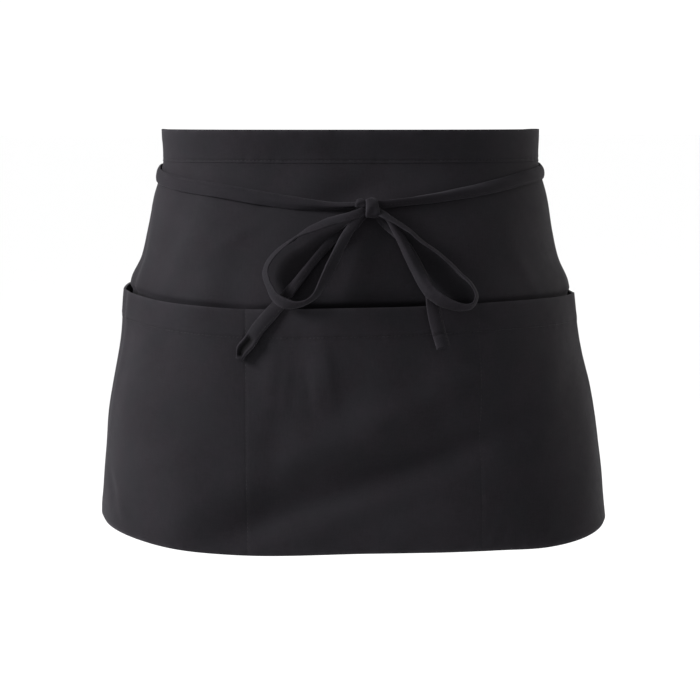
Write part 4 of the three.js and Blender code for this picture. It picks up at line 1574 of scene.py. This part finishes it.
class NodeSheet:
    """A new material, and a short way to write its nodes."""

    def __init__(self, name: str) -> None:
        """Starts the material from its own shader."""
        self.material = bpy.data.materials.new(name)
        self.material.use_nodes = True
        self.nodes = self.material.node_tree.nodes
        self.shader = self.nodes["Principled BSDF"]

    def add(self, kind: str, **settings: object) -> bpy.types.ShaderNode:
        """Adds a node.

        Args:
            kind: The node's type.
            **settings: The properties to set on it.

        Returns:
            The node.
        """
        node = self.nodes.new(kind)
        for name, value in settings.items():
            setattr(node, name, value)
        return node

    def feed(self, source: object, target: bpy.types.NodeSocket) -> None:
        """Links a socket, or sets a number or a colour."""
        if isinstance(source, bpy.types.NodeSocket):
            self.material.node_tree.links.new(source, target)
        else:
            target.default_value = source

    def feed_all(self, node: bpy.types.ShaderNode, inputs: dict[str, object]) -> None:
        """Feeds a node's inputs by their names."""
        for name, source in inputs.items():
            self.feed(source, node.inputs[name])

    def dress(self, inputs: dict[str, object]) -> bpy.types.Material:
        """Feeds the shader's inputs and gives the finished material."""
        self.feed_all(self.shader, inputs)
        return self.material

    def math(self, operation: str, *terms: object) -> bpy.types.NodeSocket:
        """Does one sum.

        Args:
            operation: The Math node's operation.
            *terms: Sockets or numbers.

        Returns:
            The result.
        """
        node = self.add("ShaderNodeMath", operation=operation)
        for term, socket in zip(terms, node.inputs):
            self.feed(term, socket)
        return node.outputs[0]

    def total(self, *parts: tuple[bpy.types.NodeSocket, float]) -> bpy.types.NodeSocket:
        """Adds up patterns.

        Args:
            *parts: Each pattern with its weight.

        Returns:
            The weighted sum.
        """
        result = 0.0
        for pattern, weight in parts:
            result = self.math("MULTIPLY_ADD", pattern, weight, result)
        return result

    def clamp(self, source: object, low: float, high: float) -> bpy.types.NodeSocket:
        """Spreads the values between two limits over 0 to 1.

        Args:
            source: The values.
            low: The value that gives 0.
            high: The value that gives 1.

        Returns:
            The result.
        """
        node = self.add("ShaderNodeMapRange")
        self.feed_all(node, {"Value": source, "From Min": low, "From Max": high})
        return node.outputs["Result"]

    def mapped(self, vector: bpy.types.NodeSocket, scale: tuple = (1.0, 1.0, 1.0),
               turn: float = 0.0) -> bpy.types.NodeSocket:
        """Stretches or turns the places where a pattern is read.

        Args:
            vector: The places.
            scale: The scale on each axis.
            turn: The turn in degrees about the third axis.

        Returns:
            The new places.
        """
        node = self.add("ShaderNodeMapping")
        self.feed_all(node, {"Vector": vector, "Scale": scale, "Rotation": (0.0, 0.0, math.radians(turn))})
        return node.outputs["Vector"]

    def noise(self, vector: bpy.types.NodeSocket, scale: float, detail: float) -> bpy.types.NodeSocket:
        """Adds a noise pattern.

        Args:
            vector: Where to read it.
            scale: Its scale.
            detail: Its detail.

        Returns:
            Its value.
        """
        node = self.add("ShaderNodeTexNoise")
        self.feed_all(node, {"Vector": vector, "Scale": scale, "Detail": detail})
        return node.outputs["Fac"]

    def wave(self, vector: bpy.types.NodeSocket, pitch: float) -> bpy.types.NodeSocket:
        """Adds even ribs.

        Args:
            vector: Where to read them.
            pitch: Their distance from each other.

        Returns:
            Their height.
        """
        node = self.add("ShaderNodeTexWave")
        self.feed_all(node, {"Vector": vector, "Scale": 2 * math.pi / 20 / pitch, "Distortion": 0.6})
        return node.outputs["Fac"]

    def mix(self, share: object, first: object, second: object) -> bpy.types.NodeSocket:
        """Mixes two colours.

        Args:
            share: The second colour's share.
            first: The first colour.
            second: The second colour.

        Returns:
            The mixed colour.
        """
        node = self.add("ShaderNodeMix", data_type="RGBA")
        self.feed(share, node.inputs["Factor"])
        colours = [socket for socket in node.inputs if socket.type == "RGBA"]
        self.feed(first, colours[0])
        self.feed(second, colours[1])
        return [socket for socket in node.outputs if socket.type == "RGBA"][0]

    def raised(self, height: bpy.types.NodeSocket, distance: float, strength: float) -> bpy.types.NodeSocket:
        """Raises the surface by a pattern.

        Args:
            height: The pattern.
            distance: How far its full height raises the surface.
            strength: The share of it that shows.

        Returns:
            The surface's new direction.
        """
        node = self.add("ShaderNodeBump")
        self.feed_all(node, {"Height": height, "Distance": distance, "Strength": strength})
        return node.outputs["Normal"]


@dataclass(frozen=True)
class Lamp:
    """A soft rectangular lamp that is aimed at a point."""

    name: str
    place: tuple
    aim: tuple
    size: float
    power: float
    colour: tuple

    def make(self) -> None:
        """Adds the lamp to the scene."""
        light = bpy.data.lights.new(self.name, "AREA")
        light.shape = "SQUARE"
        light.size = self.size
        light.energy = self.power
        light.color = self.colour
        lamp = bpy.data.objects.new(self.name, light)
        lamp.location = self.place
        lamp.rotation_euler = (Vector(self.aim) - Vector(self.place)).to_track_quat("-Z", "Y").to_euler()
        bpy.context.scene.collection.objects.link(lamp)


@dataclass(frozen=True)
class Studio:
    """A pale floor far below, white surroundings and soft lamps."""

    floor_level: float = -1.0
    floor_size: float = 200.0
    floor_tone: tuple = (0.90, 0.90, 0.90, 1.0)
    floor_roughness: float = 0.9
    surround: float = 1.1
    lamps: tuple = (
        Lamp("key", (-2.12, -0.52, 0.90), (0.0, -0.05, -0.12), 0.8, 168.0, (1.0, 0.985, 1.0)),
        Lamp("rim", (2.0, 0.62, 0.35), (0.1, 0.0, -0.15), 0.5, 15.0, (1.0, 0.92, 0.86)),
    )

    def make(self) -> None:
        """Adds the floor, the surroundings and the lamps."""
        form = bmesh.new()
        bmesh.ops.create_grid(form, x_segments=1, y_segments=1, size=self.floor_size / 2)
        bmesh.ops.translate(form, verts=form.verts[:], vec=(0.0, 0.0, self.floor_level))
        floor = to_object("floor", form)
        paint = NodeSheet("pale_floor")
        floor.data.materials.append(
            paint.dress({"Base Color": self.floor_tone, "Roughness": self.floor_roughness}))
        world = bpy.data.worlds.new("white_surroundings")
        world.use_nodes = True
        background = world.node_tree.nodes["Background"]
        background.inputs["Color"].default_value = (1.0, 1.0, 1.0, 1.0)
        background.inputs["Strength"].default_value = self.surround
        bpy.context.scene.world = world
        bpy.context.scene.view_settings.view_transform = "Standard"
        for lamp in self.lamps:
            lamp.make()


@dataclass(frozen=True)
class PhotoCamera:
    """The camera at the photograph's place: its distance from the waist, heading, tilt and lens."""

    distance: float = 1.5
    shift_right: float = -0.00042
    height: float = 0.0225
    heading: float = 4.432
    tilt_down: float = 6.827
    lens: float = 101.01
    nearest: float = 0.05
    farthest: float = 400.0

    def make(self) -> None:
        """Adds the camera and makes it the scene's own."""
        heading = math.radians(self.heading)
        camera = bpy.data.objects.new("camera", bpy.data.cameras.new("camera"))
        camera.data.lens = self.lens
        camera.data.clip_start = self.nearest
        camera.data.clip_end = self.farthest
        camera.location = (
            self.shift_right * math.cos(heading) - self.distance * math.sin(heading),
            -self.shift_right * math.sin(heading) - self.distance * math.cos(heading),
            self.height,
        )
        camera.rotation_euler = (math.radians(90 - self.tilt_down), 0.0, -heading)
        bpy.context.scene.collection.objects.link(camera)
        bpy.context.scene.camera = camera


PANEL_TWILL = TwillFinish(
    "panel_twill",
    dark=(0.0038, 0.0033, 0.0041, 1.0),
    light=(0.0090, 0.0080, 0.0098, 1.0),
    cool=(0.0056, 0.0060, 0.0070, 1.0),
    worn=(0.018, 0.0168, 0.0196, 1.0),
)
STRAP_TWILL = TwillFinish(
    "strap_twill",
    dark=(0.0030, 0.0026, 0.0034, 1.0),
    light=(0.0080, 0.0070, 0.0088, 1.0),
    cool=(0.0050, 0.0053, 0.0063, 1.0),
    worn=(0.0165, 0.0152, 0.0180, 1.0),
    rib_angle=32.0,
)
THREAD = ThreadFinish(
    "sewing_thread",
    dark=(0.0035, 0.0032, 0.0038, 1.0),
    light=(0.0108, 0.0101, 0.0118, 1.0),
)
STRAP_THREAD = ThreadFinish(
    "strap_thread",
    dark=(0.0030, 0.0027, 0.0033, 1.0),
    light=(0.0078, 0.0072, 0.0084, 1.0),
)


@dataclass
class ApronBody:
    """The waistband, the skirt and the pocket panel, with their stitching."""

    form: WornForm
    columns: int = 240
    band_rows: int = 18
    skirt_rows: int = 104
    pocket_rows: int = 90
    band_round: float = 0.0008
    cloth_round: float = 0.00045
    long_run: int = 1200
    side_run: int = 500
    hem_run: int = 400
    end_run: int = 120
    above_mouth: float = 0.004
    below_mouth: float = 0.001

    def build(self, cloth: bpy.types.Material, thread: bpy.types.Material) -> None:
        """Builds and dresses the panels.

        Args:
            cloth: The panels' finish.
            thread: The stitches' finish.
        """
        cut = self.form.cut
        seams = Seams(cut)
        band = Waistband(
            "waistband_cloth", self.columns, self.band_rows, Slot.PANEL, "waistband", self.band_round,
            form=self.form, seams=seams)
        skirt = SkirtPanel(
            "skirt_cloth", self.columns, self.skirt_rows, Slot.PANEL, "skirt_panel", self.cloth_round,
            form=self.form, top=cut.band - cut.skirt_tuck)
        pocket = PocketPanel(
            "pocket_cloth", self.columns, self.pocket_rows, Slot.PANEL, "pocket_panel", self.cloth_round,
            form=self.form, top=cut.mouth, seams=seams)
        pieces = {shell.name: dressed(shell.build(), cloth) for shell in (band, skirt, pocket)}
        stitches = dressed(self.band_stitches(band).build(), thread)
        skirt_stitches = dressed(self.skirt_stitches(skirt).build(), thread)
        pocket_stitches = dressed(self.pocket_stitches(pocket).build(), thread)

    def sew(self, line: StitchLine, across: np.ndarray, down: np.ndarray, out: float | np.ndarray) -> None:
        """Adds a run of stitches on the worn form.

        Args:
            line: The line to add to.
            across: Places from front centre.
            down: Places from the top edge.
            out: Distances from the inner face of the skirt.
        """
        line.add(self.form.place(across, down, out), self.form.frame_at(across, down)[2])

    def across_run(self, down: float) -> tuple[np.ndarray, np.ndarray]:
        """Gives the flat places of a run along the whole width at one level."""
        end = self.form.cut.half - self.form.cut.run_inset
        across = np.linspace(-end, end, self.long_run)
        return across, np.full_like(across, down)

    def skirt_stitches(self, skirt: SkirtPanel) -> StitchLine:
        """Lays the stitches down the skirt's side hems, from the band to the pockets.

        Args:
            skirt: The panel that they are sewn through.

        Returns:
            The lines of stitches.
        """
        cut = self.form.cut
        line = StitchLine("skirt_stitches", Slot.PANEL)
        down = np.linspace(cut.band + cut.run_inset, cut.mouth - self.above_mouth, self.hem_run)
        for side in Side:
            across = np.full_like(down, side.value * (cut.half - cut.side_hem + cut.hem_inset))
            self.sew(line, across, down, cut.skirt_cloth - skirt.hem_groove + STITCH_PROUD)
        return line

    def band_stitches(self, band: Waistband) -> StitchLine:
        """Lays the stitches along the band's lower edge and across its two ends.

        Args:
            band: The band that they are sewn through.

        Returns:
            The lines of stitches.
        """
        cut = self.form.cut
        line = StitchLine("waistband_stitches", Slot.PANEL)
        across, down = self.across_run(cut.band_line)
        out = cut.band_cloth - cut.band_thinning + band.seams.in_band(across, down) + STITCH_PROUD
        self.sew(line, across, down, out)
        down = np.linspace(cut.run_inset, cut.band - cut.run_inset, self.end_run)
        for side in Side:
            across = np.full_like(down, side.value * (cut.half - cut.side_inset))
            self.sew(line, across, down, band.face(down) + STITCH_PROUD)
        return line

    def pocket_stitches(self, pocket: PocketPanel) -> StitchLine:
        """Lays the stitches of the pocket's hem, between the pockets and down the panel's two sides.

        Args:
            pocket: The panel that they are sewn through.

        Returns:
            The lines of stitches.
        """
        cut = self.form.cut
        line = StitchLine("pocket_stitches", Slot.PANEL)
        runs = [(*self.across_run(cut.hem_line), STITCH_PROUD)]
        top = cut.mouth + self.below_mouth
        for side in Side:
            down = np.linspace(top, cut.length - cut.run_inset, self.side_run)
            runs.append((np.full_like(down, side.value * cut.seam), down, STITCH_SUNK))
            down = np.linspace(top, cut.length - cut.corner, self.side_run)
            runs.append((np.full_like(down, side.value * (cut.half - cut.side_inset)), down, STITCH_PROUD))
        for across, down, proud in runs:
            self.sew(line, across, down, pocket.out(across, down, True) + proud)
        return line


@dataclass
class Bow:
    """The ties, the knot, the loops and the tails."""

    form: WornForm
    sizes: StrapSizes
    tie_columns: int = 230
    loop_columns: int = 130
    tail_columns: int = 90
    stitch_samples: int = 400
    stitch_level: float = 0.80
    stitch_proud: float = 0.00005

    def build(self, cloth: bpy.types.Material, thread: bpy.types.Material) -> None:
        """Builds and dresses the straps and the knot.

        Args:
            cloth: The straps' finish.
            thread: The stitches' finish.
        """
        line = StitchLine("strap_stitches", Slot.STRAP, width=0.00034, height=0.0003)
        for strap in self.straps():
            dressed(strap.build(), cloth)
            self.sew_edge(strap, line)
            LOG.info("%s is %.0f mm long", strap.name, 1000 * strap.length)
        dressed(line.build(), thread)
        for ring in self.rings():
            dressed(ring.build(), cloth)

    def straps(self) -> tuple[Strap, ...]:
        """Gives the two ties, the two loops and the two tails."""
        sizes, sides = self.sizes, len(STRAP_PLACES) - 1
        common = {"form": self.form, "sizes": sizes}
        loop = {"reach": sizes.loop_reach, "drop": sizes.loop_drop, **common}
        tail = {"reach": sizes.tail_reach, "drop": sizes.tail_drop, **common}
        return (
            Tie("tie_left_strap", self.tie_columns, sides, Slot.STRAP, "tie_left", 0.0,
                table=LEFT_TIE, side=Side.LEFT, over=True, **common),
            Tie("tie_right_strap", self.tie_columns, sides, Slot.STRAP, "tie_right", 0.0,
                table=RIGHT_TIE, side=Side.RIGHT, **common),
            BowStrand("bow_loop_left_strap", self.loop_columns, sides, Slot.STRAP, "bow_loop_left", 0.0,
                      table=LEFT_LOOP, **loop),
            BowStrand("bow_loop_right_strap", self.loop_columns, sides, Slot.STRAP, "bow_loop_right", 0.0,
                      table=RIGHT_LOOP, **loop),
            BowStrand("tail_left_strap", self.tail_columns, sides, Slot.STRAP, "tail_left", 0.0,
                      table=LEFT_TAIL, end=OpenEnd(), **tail),
            BowStrand("tail_right_strap", self.tail_columns, sides, Slot.STRAP, "tail_right", 0.0,
                      table=RIGHT_TAIL, end=FoldedEnd(), **tail),
        )

    def rings(self) -> tuple[KnotRing, ...]:
        """Gives the turn round the bundle and the smaller fold of strap beside it."""
        common = {"closed": True, "form": self.form, "sizes": self.sizes}
        return (
            KnotRing("knot_wrap", 56, 12, Slot.STRAP, "bow_knot", 0.0,
                     shift=(0.0, -0.0028, 0.0002), **common),
            KnotRing("knot_bight", 40, 8, Slot.STRAP, "bow_knot", 0.0,
                     shift=(-0.0078, 0.0004, 0.0006), half_height=0.0031, half_depth=0.0038,
                     half_width=0.0036, lean=-10.0, **common),
        )

    def sew_edge(self, strap: Strap, line: StitchLine) -> None:
        """Adds the stitches that close a strap along one edge, on both of its faces.

        Args:
            strap: The strap.
            line: The line of stitches to add to.
        """
        sizes = self.sizes
        places = strap.even_places(self.stitch_samples)
        middle, face, sideways, wide, thick = strap.frames(places)
        inset = 1 - 2 * sizes.stitch_inset / sizes.width
        run = np.linspace(0.0, strap.length, len(places))
        bend = strap.bend(run, np.full_like(run, inset), wide)
        edge = middle + sideways * (inset * wide * sizes.width / 2)[:, None]
        for side in (1, -1):
            face_height = 0.5 * sizes.thickness * thick * self.stitch_level + self.stitch_proud
            height = side * face_height + bend
            line.add(edge + face * height[:, None], side * face)


def dressed(piece: bpy.types.Object, finish: bpy.types.Material) -> bpy.types.Object:
    """Gives a piece its finish and reports it.

    Args:
        piece: The piece.
        finish: Its material.

    Returns:
        The same piece.
    """
    piece.data.materials.append(finish)
    LOG.info("%s: %d faces", piece.name, len(piece.data.polygons))
    return piece


def main() -> None:
    """Builds the camera, the studio and the apron in order."""
    logging.basicConfig(level=logging.INFO, format="%(message)s")
    PhotoCamera().make()
    Studio().make()
    form = WornForm(Cut(), Worn())
    thread = THREAD.make()
    ApronBody(form).build(PANEL_TWILL.make(), thread)
    Bow(form, StrapSizes()).build(STRAP_TWILL.make(), STRAP_THREAD.make())


if __name__ == "__main__":
    main()
